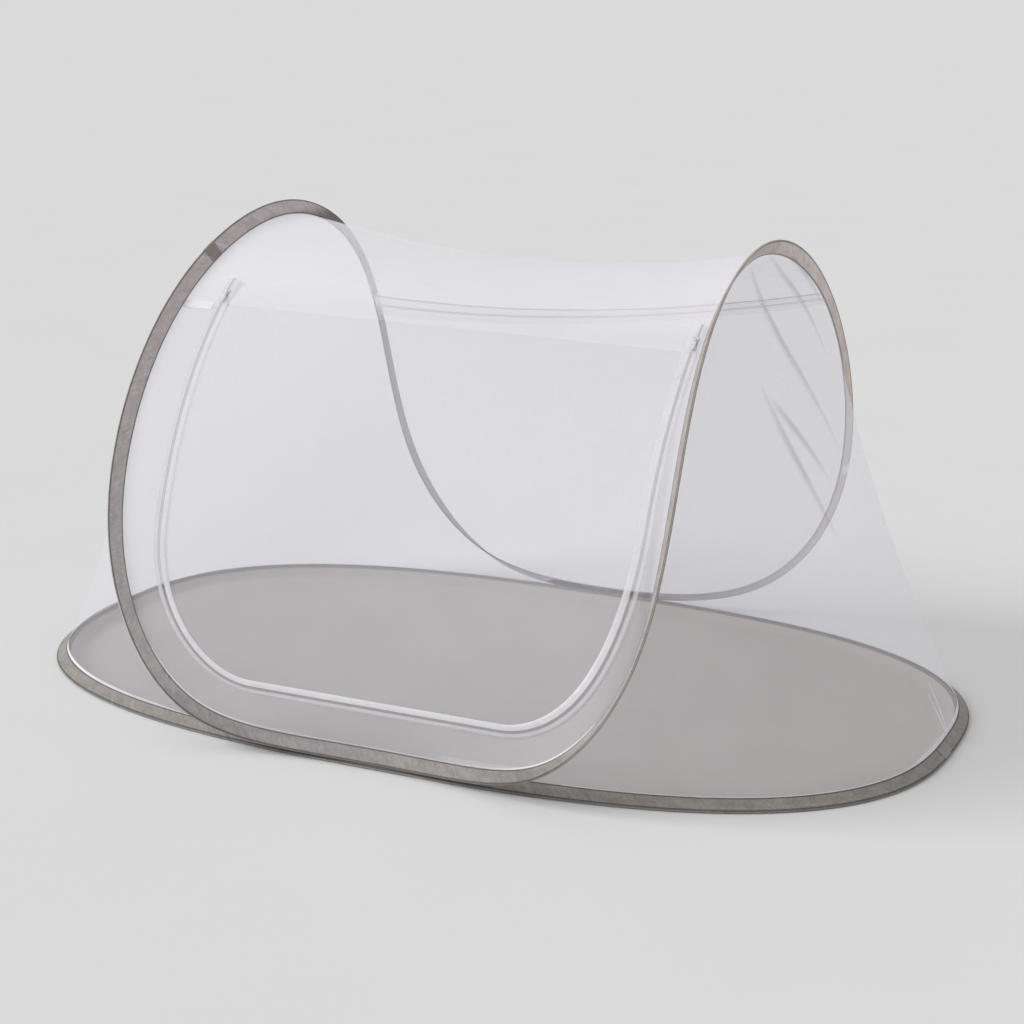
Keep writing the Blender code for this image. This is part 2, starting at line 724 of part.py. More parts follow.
def build_zipper(edge, fold, white, coil):
    """Tapes and coils of both halves, the heads above the fold and the stops."""
    arc = edge.arc
    near = COIL_GAP
    far = near + COIL_WIDTH
    tape = far + CLEARANCE
    mid = COIL_HEIGHT / 2
    low = NET / 2 + BAND_PLAY
    high = low + ZIPPER_TAPE
    coil_low = (low + high) / 2 - mid
    coil_high = (low + high) / 2 + mid
    whole = edge.path(-PARK_LENGTH, FINE_LEG_STEPS, FINE_CORNER_STEPS)
    flap = edge.path(FOLD_GAP / 2, FINE_LEG_STEPS, FINE_CORNER_STEPS)
    frame_tape = zipper_strip(arc, whole, tape, tape + FRAME_TAPE_WIDTH, low, high)
    sweep("zipper_tape_frame", frame_tape, False, white)
    frame_coil = zipper_strip(arc, whole, near, far, coil_low, coil_high)
    sweep("zipper_coil_frame", frame_coil, False, coil)
    door_tape = zipper_strip(arc, flap, -tape, -tape - DOOR_TAPE_WIDTH, low, high)
    sweep("zipper_tape_door", door_tape, False, white, origin=fold)
    door_coil = zipper_strip(arc, flap, -near, -far, coil_low, coil_high)
    sweep("zipper_coil_door", door_coil, False, coil, origin=fold)
    for side, (across, sign, _, _) in zip(("left", "right"), edge.sides):
        profile = (
            (near, coil_low),
            (near, coil_high),
            (far, coil_high),
            (far, high),
            (tape + DOOR_TAPE_WIDTH, high),
            (tape + DOOR_TAPE_WIDTH, low),
            (far, low),
            (far, coil_low),
        )
        head = []
        for down in np.linspace(-PARK_LENGTH, -FOLD_GAP / 2, 3):
            head.append([arc.at(across - sign * wide, down, out) for wide, out in profile])
        sweep(f"zipper_head_{side}", head, False, white)
        stop = []
        for down in (-PARK_LENGTH - CLEARANCE - STOP_LENGTH, -PARK_LENGTH - CLEARANCE):
            corners = ((-far, coil_low), (far, coil_low), (far, coil_high), (-far, coil_high))
            stop.append([arc.at(across + wide, down, out) for wide, out in corners])
        sweep(f"zipper_stop_{side}", stop, False, coil)


def slider_sizes():
    """Heights and half widths of the slider's channel, from the coils and tapes that pass through."""
    tape_low = NET / 2 + BAND_PLAY
    tape_high = tape_low + ZIPPER_TAPE
    middle = (tape_low + tape_high) / 2
    reach = COIL_HEIGHT / 2 + SLIDER_PLAY
    half = COIL_GAP + COIL_WIDTH + SLIDER_PLAY + SLIDER_LIP
    return tape_low, tape_high, middle - reach, middle + reach, half


def place(arc, across, down, points):
    wide, along, out = arc.frame(down)
    centre = arc.at(across, down)
    return [centre + wide * x + along * y + out * z for x, y, z in points]


def wing(half, plate, lip, outer, flare):
    """Sections of one wing of the slider: a shallow channel, wider at its leading end."""
    inner = half - SLIDER_LIP
    sections = []
    for along, extra in ((-SLIDER_LENGTH / 2, flare), (SLIDER_LENGTH / 2, 0.0)):
        wide = half + extra
        room = inner + extra
        outline = (
            (-wide, outer),
            (wide, outer),
            (wide, lip),
            (room, lip),
            (room, plate),
            (-room, plate),
            (-room, lip),
            (-wide, lip),
        )
        sections.append([(x, along, z) for x, z in outline])
    return sections


def wing_faces():
    ring = [(k, (k + 1) % 8, 8 + (k + 1) % 8, 8 + k) for k in range(8)]
    return (*ring, tuple(range(8)), tuple(range(8, 16)))


def bridge_shape(base, way):
    """A low arch over the slider's plate, from base, rising the given way. The pull hangs in it."""
    rise = PULL_THICK + 2 * SLIDER_PLAY
    bite = SLIDER_WALL / 2
    wide = BRIDGE_WIDTH / 2
    points = []
    for turn in np.linspace(0.0, math.pi, BRIDGE_STEPS + 1):
        for grow, sides in ((0.0, (-wide, wide)), (BRIDGE_THICK, (wide, -wide))):
            y = -(BRIDGE_SPAN / 2 + grow) * math.cos(turn)
            z = base + way * ((rise + bite + grow) * math.sin(turn) - bite)
            points += [(x, y, z) for x in sides]
    faces = []
    for i in range(BRIDGE_STEPS):
        for k in range(4):
            after = (k + 1) % 4
            faces.append((i * 4 + k, i * 4 + after, i * 4 + 4 + after, i * 4 + 4 + k))
    faces += [(0, 1, 2, 3), tuple(range(BRIDGE_STEPS * 4, BRIDGE_STEPS * 4 + 4))]
    return points, faces


def build_slider(arc, side, across, steel):
    """Two wings joined by a neck between the coils, with a bridge on each face for its pull."""
    tape_low, tape_high, room_low, room_high, half = slider_sizes()
    top = room_high + SLIDER_WALL
    bottom = room_low - SLIDER_WALL
    down = -SLIDER_PARK
    upper = wing(half, room_high, tape_high + SLIDER_PLAY, top, SLIDER_FLARE)
    lower = wing(half, room_low, tape_low - SLIDER_PLAY, bottom, SLIDER_FLARE)
    body = add_object(
        f"slider_{side}",
        place(arc, across, down, upper[0] + upper[1]),
        wing_faces(),
        steel,
        origin=np.array((across, *arc.centre)),
        smooth=False,
    )
    bite = SLIDER_WALL / 3
    lead = NECK_INSET - SLIDER_LENGTH / 2
    neck_low = (-NECK_WIDTH / 2, lead, room_low - bite)
    neck_high = (NECK_WIDTH / 2, lead + NECK_LENGTH, room_high + bite)
    shapes = (
        ("neck", box_points(neck_low, neck_high), BOX_FACES),
        ("wing", lower[0] + lower[1], wing_faces()),
        ("bridge_out", *bridge_shape(top, 1.0)),
        ("bridge_in", *bridge_shape(bottom, -1.0)),
    )
    for name, points, faces in shapes:
        boolean(body, helper(f"{name}_{side}", place(arc, across, down, points), faces), "UNION")
    return top, bottom


def build_pull(arc, name, across, plate, way, lean, steel):
    """A flat tab with an eye, whose end bar lies under the slider's bridge and turns in it."""
    half = PULL_THICK / 2
    arm_in = BRIDGE_WIDTH / 2 + SLIDER_PLAY
    arm_out = arm_in + PULL_ARM
    wide = PULL_WIDTH / 2
    corner = wide / 2
    outline = (
        (-arm_out, -half),
        (arm_out, -half),
        (arm_out, PULL_EYE),
        (wide, PULL_EYE + corner),
        (wide, PULL_LENGTH - corner),
        (corner, PULL_LENGTH),
        (-corner, PULL_LENGTH),
        (-wide, PULL_LENGTH - corner),
        (-wide, PULL_EYE + corner),
        (-arm_out, PULL_EYE),
    )
    height = plate + way * (SLIDER_PLAY + half)

    def leaned(points):
        found = []
        for x, y, z in points:
            along = y * math.cos(lean) - z * math.sin(lean)
            out = y * math.sin(lean) + z * math.cos(lean)
            found.append((x, along, height + out))
        return place(arc, across, -SLIDER_PARK, found)

    count = len(outline)
    faces = [(k, (k + 1) % count, count + (k + 1) % count, count + k) for k in range(count)]
    faces += [tuple(range(count)), tuple(range(count, 2 * count))]
    points = leaned([(x, y, z) for z in (-half, half) for x, y in outline])
    pivot = leaned([(0.0, 0.0, 0.0)])[0]
    tab = add_object(name, points, faces, steel, origin=pivot, smooth=False)
    eye = leaned(box_points((-arm_in, half, -2 * half), (arm_in, PULL_EYE, 2 * half)))
    boolean(tab, helper(f"eye_{name}", eye, BOX_FACES), "DIFFERENCE")
    return pivot


def build_cover(name, hoop, share, length, round_share, face, finish):
    """A short strip over one face of a hoop's tape, wrapped a share of the way round its fold.

    Its middle lies share stations from the loop's start.
    """
    gap = FOLD + CLEARANCE
    edge = hoop.reach - COVER_SHORT
    side = MOUTH_OUT + COVER_PLAY
    turns = np.linspace(0.0, math.pi * round_share, COVER_STEPS + 1)
    inner = [(edge, side)] + [(-gap * math.sin(turn), gap * math.cos(turn)) for turn in turns]
    gap += TAPE
    outer = [(edge, side + TAPE)] + [(-gap * math.sin(turn), gap * math.cos(turn)) for turn in turns]
    if round_share == 1.0:
        inner.append((edge, -side))
        outer.append((edge, -side - TAPE))
    profile = inner + outer[::-1]
    station = round(share)
    half = length / np.linalg.norm(hoop.wire[station + 1] - hoop.wire[station - 1])
    low = share - half
    high = share + half
    places = [low, *range(math.ceil(low), math.floor(high) + 1), high]
    sections = [
        [hoop.between(place, along, face * aside) for along, aside in profile] for place in places
    ]
    sweep(name, sections, False, finish, smooth=False)


def build():
    clear_scene()
    tape = material("taupe_tape", (0.36, 0.32, 0.30), 0.75)
    cloth = material("taupe_floor", (0.44, 0.40, 0.39), 0.8)
    net = material("white_net", (0.86, 0.86, 0.90), 0.7, alpha=0.45)
    white = material("white_tape", (0.88, 0.88, 0.90), 0.7)
    coil = material("zipper_coil", (0.62, 0.62, 0.64), 0.5)
    spring = material("spring_steel", (0.55, 0.56, 0.58), 0.35, metallic=1.0)
    slider = material("slider_metal", (0.80, 0.80, 0.81), 0.4, metallic=0.6)
    material("cutter", (1.0, 0.0, 0.0), 1.0)

    base = base_hoop()
    arch = arch_hoop(base)
    mouth = arch.seam(DOOR_STATION, -1.0)[1]
    arc = DoorArc(mouth[1:])
    left = DOOR_LEFT_MARGIN - mouth[0]
    right = mouth[0] - DOOR_RIGHT_MARGIN
    edge = DoorEdge(arc, left, right)
    coil_top = NET / 2 + BAND_PLAY + ZIPPER_TAPE / 2 + COIL_HEIGHT / 2
    fold = arc.at(0.0, 0.0, coil_top + CLEARANCE)

    build_hoops(base, arch, tape, spring)
    build_floor(base, cloth)
    build_band(arch, arc, left, right, net, white)
    build_front(arch, edge, net, white)
    build_ends(arch, base, net, white)
    build_door(edge, fold, net)
    build_zipper(edge, fold, white, coil)
    for side, across in (("left", left), ("right", right)):
        top, bottom = build_slider(arc, side, across, slider)
        build_pull(arc, f"pull_outer_{side}", across, top, 1.0, 0.0, slider)
        hang = arc.angle(-SLIDER_PARK) - math.pi
        build_pull(arc, f"pull_inner_{side}", across, bottom, -1.0, hang, slider)
    build_cover("arch_joint_cover", arch, JOINT_COVER_STATION, COVER_LENGTH, 1.0, 1.0, tape)
    build_cover("arch_wrap_left", arch, LEFT_WRAP_STATION, WRAP_LENGTH, 1.0, 1.0, white)
    build_cover("arch_wrap_right", arch, RIGHT_WRAP_STATION, WRAP_LENGTH, 1.0, 1.0, white)
    build_cover("base_joint_cover", base, BASE_COVER_STATION, COVER_LENGTH, BASE_COVER_ROUND_SHARE, -1.0, tape)


build()
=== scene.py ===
import math

import bpy
import numpy as np
from mathutils import Matrix, Vector


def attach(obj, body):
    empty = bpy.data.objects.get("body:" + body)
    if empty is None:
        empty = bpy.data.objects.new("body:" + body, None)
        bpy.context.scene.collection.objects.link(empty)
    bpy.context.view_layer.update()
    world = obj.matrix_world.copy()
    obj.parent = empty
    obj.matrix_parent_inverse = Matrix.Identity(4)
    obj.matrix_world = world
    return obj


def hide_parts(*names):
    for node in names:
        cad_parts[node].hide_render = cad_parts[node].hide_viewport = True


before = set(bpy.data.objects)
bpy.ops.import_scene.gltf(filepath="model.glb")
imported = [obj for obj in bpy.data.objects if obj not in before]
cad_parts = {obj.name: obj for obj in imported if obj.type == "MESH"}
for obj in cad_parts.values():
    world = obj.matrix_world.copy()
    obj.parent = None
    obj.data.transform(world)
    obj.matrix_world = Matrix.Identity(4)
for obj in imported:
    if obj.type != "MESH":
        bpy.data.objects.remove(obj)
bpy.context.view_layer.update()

# Sizes of the model, in metres: outline of the hoops
HALF_LENGTH = 1.0
HALF_WIDTH = 0.626
ARCH_HEIGHT = 0.978
BASE_ROUNDNESS = 2.66
ARCH_SHARES = (
    (0.383, -1.102, 0.039), (0.555, -1.059, 0.272), (0.589, -0.979, 0.567),
    (0.562, -0.681, 0.893), (0.546, -0.233, 1.0), (0.546, 0.0, 1.0),
)
ARCH_FOOT_SHARE = 0.181
FIN_SHARES = (
    (0.2, -0.75, -0.4), (0.4, -0.7, 0.3), (0.47, -0.4, 0.79),
    (0.45, -0.25, 0.86), (0.5, 0.0, 0.86), (0.5, 0.0, 0.86),
)

# Turn of the arch tape about its own run on the back legs, in degrees at even shares of the way up,
# and how far stations are moved along those legs
RIGHT_BACK_TURNS = (0, 0, 6, 6, 0, -12, -24, -30, -28, -14, 0)
LEFT_BACK_TURNS = (0, 0, -5, -12, -17, -23, -27, -24, -14, -4, 0)
RIGHT_BACK_SHIFT = 0.05
LEFT_BACK_SHIFT = -0.0755
SHIFT_POWER = 1.5

# Stations of the model round each hoop, and how many points each is split into here
QUARTER = 20
FINE = 30
JUNCTION = 1
DOOR_STATION = 16
BACK_SEAM_STATION = 2 * QUARTER - 15

# Wire, tapes and the places where nets are sewn in
WIRE_RADIUS = 0.00125
FERRULE_RADIUS = 0.0019
FERRULE_LENGTH = 0.03
ARCH_FERRULE_STATION = 62.5
BASE_FERRULE_STATION = 19.5
FOLD = 0.004133
NET_LAYER = 0.00065
MODEL_GAP = 0.0003
ARCH_TAPE_WIDTH = 0.035
BASE_LEAN_IN = 0.024 - FOLD
BASE_LEAN_UP = 0.022 - FOLD
BASE_TAPE_WIDTH = math.hypot(BASE_LEAN_IN, BASE_LEAN_UP) + FOLD
TUCK = 0.006
LIP = 0.001
FOOT_LIFT = 0.004
FLOOR_FLAT_INSET = 0.06
FLOOR_THICK = 0.001

# Slack of the nets
ROOF_SAG = 0.054
BACK_SAG = 0.04
DOOR_SAG = 0.018
END_SAGS = {"left": 0.012, "right": 0.022}
SAG_CENTRE = 0.36 * ARCH_HEIGHT
NET_WAVE = 0.004
END_WAVE = 0.005
FRONT_WAVE = 0.0022
SEAM_CLEAR = 0.01
# Rows and columns of each net's grid, with the seed, longest, shortest and number of its waves
NET_GRIDS = {
    "roof": (76, 116, (11, 0.9, 0.12, 8)),
    "back": (96, 116, (12, 0.8, 0.1, 8)),
    "right": (230, 84, (21, 0.9, 0.1, 9)),
    "left": (230, 84, (22, 0.9, 0.1, 9)),
    "front": (280, 26, (31, 0.5, 0.05, 8)),
    "door": (150, 110, (41, 0.9, 0.1, 9)),
}

# Door and zipper
DOOR_BELLY_SHARE = (-0.963, 0.511)
DOOR_FOOT_SHARE = (-1.01, 0.133)
DOOR_LEFT_MARGIN = 0.083
DOOR_RIGHT_MARGIN = 0.018
LEFT_CORNER = (0.21, 0.3)
RIGHT_CORNER = (0.265, 0.42)
CORNER_STATION = 10.0
RUN_STATION = 3.0
COIL_GAP = 0.0008
COIL_WIDTH = 0.0022
COIL_END = COIL_GAP + COIL_WIDTH
COIL_HEIGHT = 0.0024
FRAME_TAPE_WIDTH = 0.009
DOOR_TAPE_WIDTH = 0.013
TAPE_START = COIL_END + MODEL_GAP
ZIPPER_LOW = 0.001
ZIPPER_HIGH = 0.0018
ZIPPER_MIDDLE = (ZIPPER_LOW + ZIPPER_HIGH) / 2
NET_UNDERLAP = 0.005
PARK_LENGTH = 0.068
FOLD_GAP = 0.0006
STOP_LENGTH = 0.003
SLACK_PAST_TAPE = 0.002

# Finer forms of the tapes
ARCH_BULGE = 0.0024
TAPE_SKIN = 0.0006
TAPE_HALF = 0.0018
ROUND_TURNS = (8.0, 38.0, 64.0, 90.0, 116.0, 142.0, 172.0)
SEW_INSET = 0.0042
STITCH_PITCH = 0.0036
STITCH_LENGTH = 0.0027
THREAD = 0.00028
TAPE_STEP = 0.0036
TAPE_RIPPLE = 0.0007
ZIPPER_STEP = 0.003
ZIPPER_RIM = 0.0004
TOOTH_PITCH = 0.0016
TOOTH_THREAD = 0.0003
TOOTH_NEAR = 0.00045
STEPS_PER_TURN = 5
COVER_LIFT = 0.0007
# Points of a tape's section where painted shade lines run along its borders, and their half widths
BORDER_SHADE_POINTS = ((1, 0.002), (7, 0.003), (13, 0.003), (19, 0.002))
FOLD_STEPS = 48
FOLD_WIDTH_STEPS = 13
# Back band: how far its cloth, grey top line and fold reach past the seam, the cloth's lift, and the lift and
# thickness of the other two
BAND_REACH = (-0.021, 0.027)
TOP_LINE_REACH = (-0.0215, -0.0185)
BAND_FOLD_REACH = (0.0005, 0.0055)
BAND_LIFT = 0.0016
BAND_STRIP = (0.002, 0.0008)
# Wrinkles of the right end net: path in shares of its rows and columns, width, height and look; the crease look
# is a dark grey net, a painted shade along the wrinkles
NET_FOLDS = (
    (((0.484, 0.0), (0.481, 0.09), (0.487, 0.2), (0.503, 0.3), (0.53, 0.44)), 0.05, 0.0045, "crease"),
    (((0.514, 0.0), (0.521, 0.06), (0.543, 0.11), (0.556, 0.16), (0.58, 0.26)), 0.044, 0.004, "crease"),
    (((0.55, 0.0), (0.575, 0.012), (0.594, 0.034), (0.622, 0.06)), 0.036, 0.003, "crease"),
    (((0.446, 0.25), (0.45, 0.342), (0.455, 0.394), (0.463, 0.46), (0.472, 0.54)), 0.046, 0.0035, "crease"),
    (((0.452, 0.29), (0.464, 0.345), (0.475, 0.385), (0.494, 0.46)), 0.04, 0.003, "crease"),
    (((0.512, 0.84), (0.513, 0.89), (0.51, 0.945), (0.502, 0.998)), 0.018, 0.0035, "fold"),
    (((0.503, 0.86), (0.504, 0.91), (0.504, 0.955), (0.501, 0.998)), 0.014, 0.003, "fold"),
)
# Hems and the front's strip: places and widths, and the lift and thickness of each tape
FRONT_HEM_STATION = 6.5
FRONT_HEM_WIDTH = 0.003
FRONT_HEM_TAPE = (0.0006, 0.0006)
FRONT_STRIP_REACH = (0.003, 0.016)
FRONT_STRIP_TAPE = (0.0012, 0.0006)
HEM_TAPE = (0.0006, 0.0007)
HEM_NARROW = 0.0022
HEM_WIDE = 0.008
HEM_WIDE_STATIONS = {"right": (15.5, 23.0), "left": (18.0, 37.0)}

# Names of the right end net's folds
FOLD_NAMES = tuple(f"right_end_fold_{k + 1}" for k in range(len(NET_FOLDS)))

# Light, and the camera as in the photograph with its picture's size in pixels
SUN_WAY = (-0.68, -0.48, 0.55)
SUN_ENERGY = 2.15
SUN_ANGLE = math.radians(30.0)
FILL = 0.62
ROOM_HALF = 60.0
CAMERA_AZIMUTH = math.radians(23.38)
CAMERA_ELEVATION = math.radians(15.33)
CAMERA_ROLL = math.radians(1.25)
CAMERA_DISTANCE = 5.043
CAMERA_TARGET = (-0.015, 0.071, 0.349)
FOCAL_PIXELS = 2325.1
PICTURE_PIXELS = 1024
SENSOR_WIDTH = 36.0


def unit(vectors):
    return vectors / np.linalg.norm(vectors, axis=-1, keepdims=True)


def even_shares(count):
    return np.linspace(0.0, 1.0, count)


def blend(a, b, part):
    return a * (1 - part) + b * part


def square_to(ways, vectors):
    """What of each vector is square to its way, as a unit way."""
    return unit(vectors - (vectors * ways).sum(1, keepdims=True) * ways)


def walked(points, axis=0):
    """How far rows (axis 0) or columns (axis 1) of points lie from the first, then the way round to it."""
    steps = np.linalg.norm(np.roll(points, -1, axis) - points, axis=-1)
    if steps.ndim == 2:
        steps = steps.mean(axis=1 - axis)
    return np.concatenate([[0.0], np.cumsum(steps)])


def smooth_curve(points, shares):
    """Points of a clamped cubic B-spline at the given shares of its run."""
    points = np.asarray(points, float)
    inner = even_shares(len(points) - 2)[1:-1]
    knots = np.concatenate([np.zeros(4), inner, np.ones(4)])
    found = []
    for share in shares:
        span = min(np.searchsorted(knots, share, side="right") - 1, len(points) - 1)
        local = [points[span - 3 + k] for k in range(4)]
        for level in range(1, 4):
            for k in range(3, level - 1, -1):
                low, high = knots[span - 3 + k], knots[span + 1 + k - level]
                local[k] = blend(local[k - 1], local[k], (share - low) / (high - low))
        found.append(local[3])
    return np.array(found)


MIRRORS = np.array(((1.0, 1.0, 1.0), (1.0, -1.0, 1.0), (-1.0, -1.0, 1.0), (-1.0, 1.0, 1.0)))


def join_quarters(quarters):
    """A whole loop from its quarters, each counted from the middle of the front or back."""
    front_right, back_right, back_left, front_left = quarters
    return np.concatenate([front_right, back_right[-2::-1], back_left[1:], front_left[-2:0:-1]])


def loop_tangents(loop):
    return unit(np.roll(loop, -1, axis=0) - np.roll(loop, 1, axis=0))


class Hoop:
    """A folded tape round a wire. Places along it are counted in the model's stations, as floats."""

    def __init__(self, wire, fin, width):
        self.wire = wire
        self.fine = len(wire) // (4 * QUARTER)
        tangents = loop_tangents(wire)
        self.fin = square_to(tangents, fin)
        self.side = np.cross(tangents, self.fin)
        self.reach = width - FOLD
        self.lengths = walked(wire)
        self.total = self.lengths[-1]

    def read(self, rows, station):
        place = np.asarray(station, float) * self.fine
        low = np.floor(place).astype(int)
        return blend(rows[low % len(rows)], rows[(low + 1) % len(rows)], (place - low)[..., None])

    def at(self, station, along, sideways):
        """Places that lie along from the wire towards the mouth, and sideways from the tape."""
        station, along, sideways = np.broadcast_arrays(station, along, sideways)
        moved = self.read(self.side, station) * sideways[..., None]
        return self.read(self.wire, station) - self.read(self.fin, station) * along[..., None] + moved

    def seam(self, station, layer):
        """Where a net is tucked into the tape's mouth, and where it leaves it."""
        return [self.at(station, self.reach + past, layer * NET_LAYER) for past in (-TUCK, LIP)]

    def station_at(self, length):
        """Stations at distances from the start, round the wire."""
        place = np.interp(np.asarray(length) % self.total, self.lengths, np.arange(len(self.lengths)))
        return place / self.fine

    def length_at(self, station):
        return float(np.interp(station * self.fine, np.arange(len(self.lengths)), self.lengths))


def base_hoop(quarter):
    """The oval hoop on the ground. Its tape leans in and up from the wire."""
    turns = np.linspace(0.0, math.pi / 2, quarter + 1)
    power = 2.0 / BASE_ROUNDNESS
    across = HALF_LENGTH * np.abs(np.sin(turns)) ** power
    deep = -HALF_WIDTH * np.abs(np.cos(turns)) ** power
    across[0] = deep[-1] = 0.0
    corner = np.stack([across, deep, np.zeros(quarter + 1)], axis=1)
    outline = join_quarters([corner * mirror for mirror in MIRRORS])
    outward = np.cross(loop_tangents(outline), (0.0, 0.0, 1.0))
    wire = outline - outward * FOLD + np.array((0.0, 0.0, FOLD))
    fin = outward * BASE_LEAN_IN + np.array((0.0, 0.0, -BASE_LEAN_UP))
    return Hoop(wire, unit(fin), BASE_TAPE_WIDTH)


def arch_hoop(base, quarter):
    """The saddle-shaped hoop: it lies on the base tape at front and back, and rises as both arches."""
    to_wire = ARCH_TAPE_WIDTH / 2 - FOLD
    foot = base.at(0.0, FOOT_LIFT, -(2 * FOLD + MODEL_GAP)) - base.fin[0] * to_wire
    scale = np.array((HALF_LENGTH, HALF_WIDTH, ARCH_HEIGHT))
    second = foot + np.array((ARCH_FOOT_SHARE * HALF_LENGTH, 0.0, 0.0))
    line = np.vstack([foot, second, np.array(ARCH_SHARES) * scale])
    fins = np.vstack([base.fin[0], base.fin[0], np.array(FIN_SHARES)])
    even = even_shares(quarter + 1)
    bump = np.sin(math.pi * even**SHIFT_POWER) ** 2
    runs = [even + shift * bump for shift in (0.0, RIGHT_BACK_SHIFT, LEFT_BACK_SHIFT, 0.0)]
    centre, fin = (
        join_quarters([smooth_curve(points, run) * way for run, way in zip(runs, MIRRORS)])
        for points in (line, fins)
    )
    tangents = loop_tangents(centre)
    fin = square_to(tangents, fin)
    places = even_shares(len(RIGHT_BACK_TURNS))
    straight = np.zeros(quarter + 1)
    legs = [np.interp(runs[1], places, RIGHT_BACK_TURNS), np.interp(runs[2], places, LEFT_BACK_TURNS)]
    turn = np.radians(join_quarters((straight, *legs, straight)))[:, None]
    fin = fin * np.cos(turn) + np.cross(tangents, fin) * np.sin(turn)
    return Hoop(centre + fin * to_wire, fin, ARCH_TAPE_WIDTH)


class Door:
    """The door's round surface and the zipper's U: across is X, down is the way along it from the fold."""

    def __init__(self, mouth):
        scale = np.array((HALF_WIDTH, ARCH_HEIGHT))
        a, b, c = mouth[1:], np.array(DOOR_BELLY_SHARE) * scale, np.array(DOOR_FOOT_SHARE) * scale
        middles = np.array((((a + b) / 2) @ (b - a), ((b + c) / 2) @ (c - b)))
        self.centre = np.linalg.solve(np.array((b - a, c - b)), middles)
        self.radius = float(np.linalg.norm(a - self.centre))
        self.top = math.atan2(*(a - self.centre)[::-1])
        foot = math.atan2(*(c - self.centre)[::-1]) % math.tau
        self.length = (foot - self.top) * self.radius
        self.left = DOOR_LEFT_MARGIN - mouth[0]
        self.right = mouth[0] - DOOR_RIGHT_MARGIN

    def at(self, across, down, out=0.0):
        across, down, out = np.broadcast_arrays(across, down, out)
        turn = self.top + down / self.radius
        reach = self.radius + out
        y = self.centre[0] + reach * np.cos(turn)
        z = self.centre[1] + reach * np.sin(turn)
        return np.stack([across, y, z], axis=-1)

    def edge(self, station, top=0.0):
        """The U at stations from -DOOR_STATION, left, to DOOR_STATION: across, down and the way out."""
        on_left = station < 0
        wide, high = (np.where(on_left, *sizes) for sizes in zip(LEFT_CORNER, RIGHT_CORNER))
        sign = np.where(on_left, -1.0, 1.0)
        away = np.abs(station)
        straight = self.length - high
        leg = np.clip((DOOR_STATION - away) / (DOOR_STATION - CORNER_STATION), 0.0, 1.0)
        turn = math.pi / 2 * np.clip((CORNER_STATION - away) / (CORNER_STATION - RUN_STATION), 0.0, 1.0)
        across = np.where(on_left, self.left, self.right) - sign * wide * (1 - np.cos(turn))
        down = np.where(away >= CORNER_STATION, top + (straight - top) * leg, straight + high * np.sin(turn))
        low_left = self.left + LEFT_CORNER[0]
        low_right = self.right - RIGHT_CORNER[0]
        run = low_left + (low_right - low_left) * (station + RUN_STATION) / (2 * RUN_STATION)
        way = unit(np.stack([sign * np.cos(turn) * high, np.sin(turn) * wide], axis=-1))
        return np.where(away < RUN_STATION, run, across), down, way

    def point(self, station, wide, out=0.0, top=0.0):
        """Points that lie wide of the zipper's middle, outwards, and out from the door's surface."""
        across, down, way = self.edge(station, top)
        wide = np.asarray(wide)
        return self.at(across + way[..., 0] * wide, down + way[..., 1] * wide, out)

    def even_stations(self, step, top=0.0):
        """Stations at even distances along the zipper."""
        tight = np.linspace(-DOOR_STATION, DOOR_STATION, 4001)
        lengths = walked(self.point(tight, 0.0, 0.0, top))[:-1]
        count = round(lengths[-1] / step)
        return np.interp(np.linspace(0.0, lengths[-1], count + 1), lengths, tight)


class Ripples:
    """A smooth uneven height on a cloth: waves of unlike lengths and ways, the same each run."""

    def __init__(self, seed, longest, shortest, count=9, slant=1.0):
        draw = np.random.default_rng(seed)
        lengths = np.geomspace(longest, shortest, count)
        turns = draw.uniform(-slant, slant, count) * math.pi / 2
        self.waves = np.stack([np.cos(turns), np.sin(turns)], axis=1) * (math.tau / lengths)[:, None]
        self.phases = draw.uniform(0.0, math.tau, count)
        self.heights = (lengths / longest) ** 0.7

    def at(self, u, v):
        total = sum(
            height * np.sin(wave[0] * u + wave[1] * v + phase)
            for wave, phase, height in zip(self.waves, self.phases, self.heights)
        )
        return total / self.heights.sum()


def put(name, data):
    """A new object in the scene."""
    made = bpy.data.objects.new(name, data)
    bpy.context.scene.collection.objects.link(made)
    return made


def smooth_mesh(name, points, faces, finish):
    mesh = bpy.data.meshes.new(name)
    mesh.from_pydata(points, [], faces)
    mesh.shade_smooth()
    mesh.materials.append(finish)
    return mesh


def lay_out(mesh, name, corners):
    """A layer of cloth coordinates, a pair for each corner of the faces."""
    mesh.uv_layers.new(name=name).data.foreach_set("uv", np.ravel(corners))


def face_corners(rows, columns, closed_rows, closed_columns):
    """Row and column numbers of the corners of a grid's faces, counted on past a closed end."""
    i, k = np.indices((rows - 1 + closed_rows, columns - 1 + closed_columns)).reshape(2, -1, 1)
    return i + np.array((0, 0, 1, 1)), k + np.array((0, 1, 1, 0))


def grid_mesh(name, grid, finish, kind):
    """A mesh from a grid of points, with its cloth coordinates in metres along rows and columns.

    A "sheet" is open, a "ring" closed both ways, and a "bar" has closed columns and capped ends.
    """
    grid = np.asarray(grid, float)
    rows, columns = grid.shape[:2]
    i, k = face_corners(rows, columns, kind == "ring", kind != "sheet")
    faces = (i % rows * columns + k % columns).tolist()
    if kind == "bar":
        faces += [list(range(columns))[::-1], list(range((rows - 1) * columns, rows * columns))]
    mesh = smooth_mesh(name, grid.reshape(-1, 3).tolist(), faces, finish)
    corners = np.zeros((len(mesh.loops), 2))
    corners[: i.size] = np.stack([walked(grid, 0)[i], walked(grid, 1)[k]], axis=-1).reshape(-1, 2)
    lay_out(mesh, "cloth", corners)
    if kind == "bar":
        mesh.set_sharp_from_angle(angle=math.radians(50.0))
    return mesh


def grid_normals(grid):
    return unit(np.cross(np.gradient(grid, axis=0), np.gradient(grid, axis=1)))


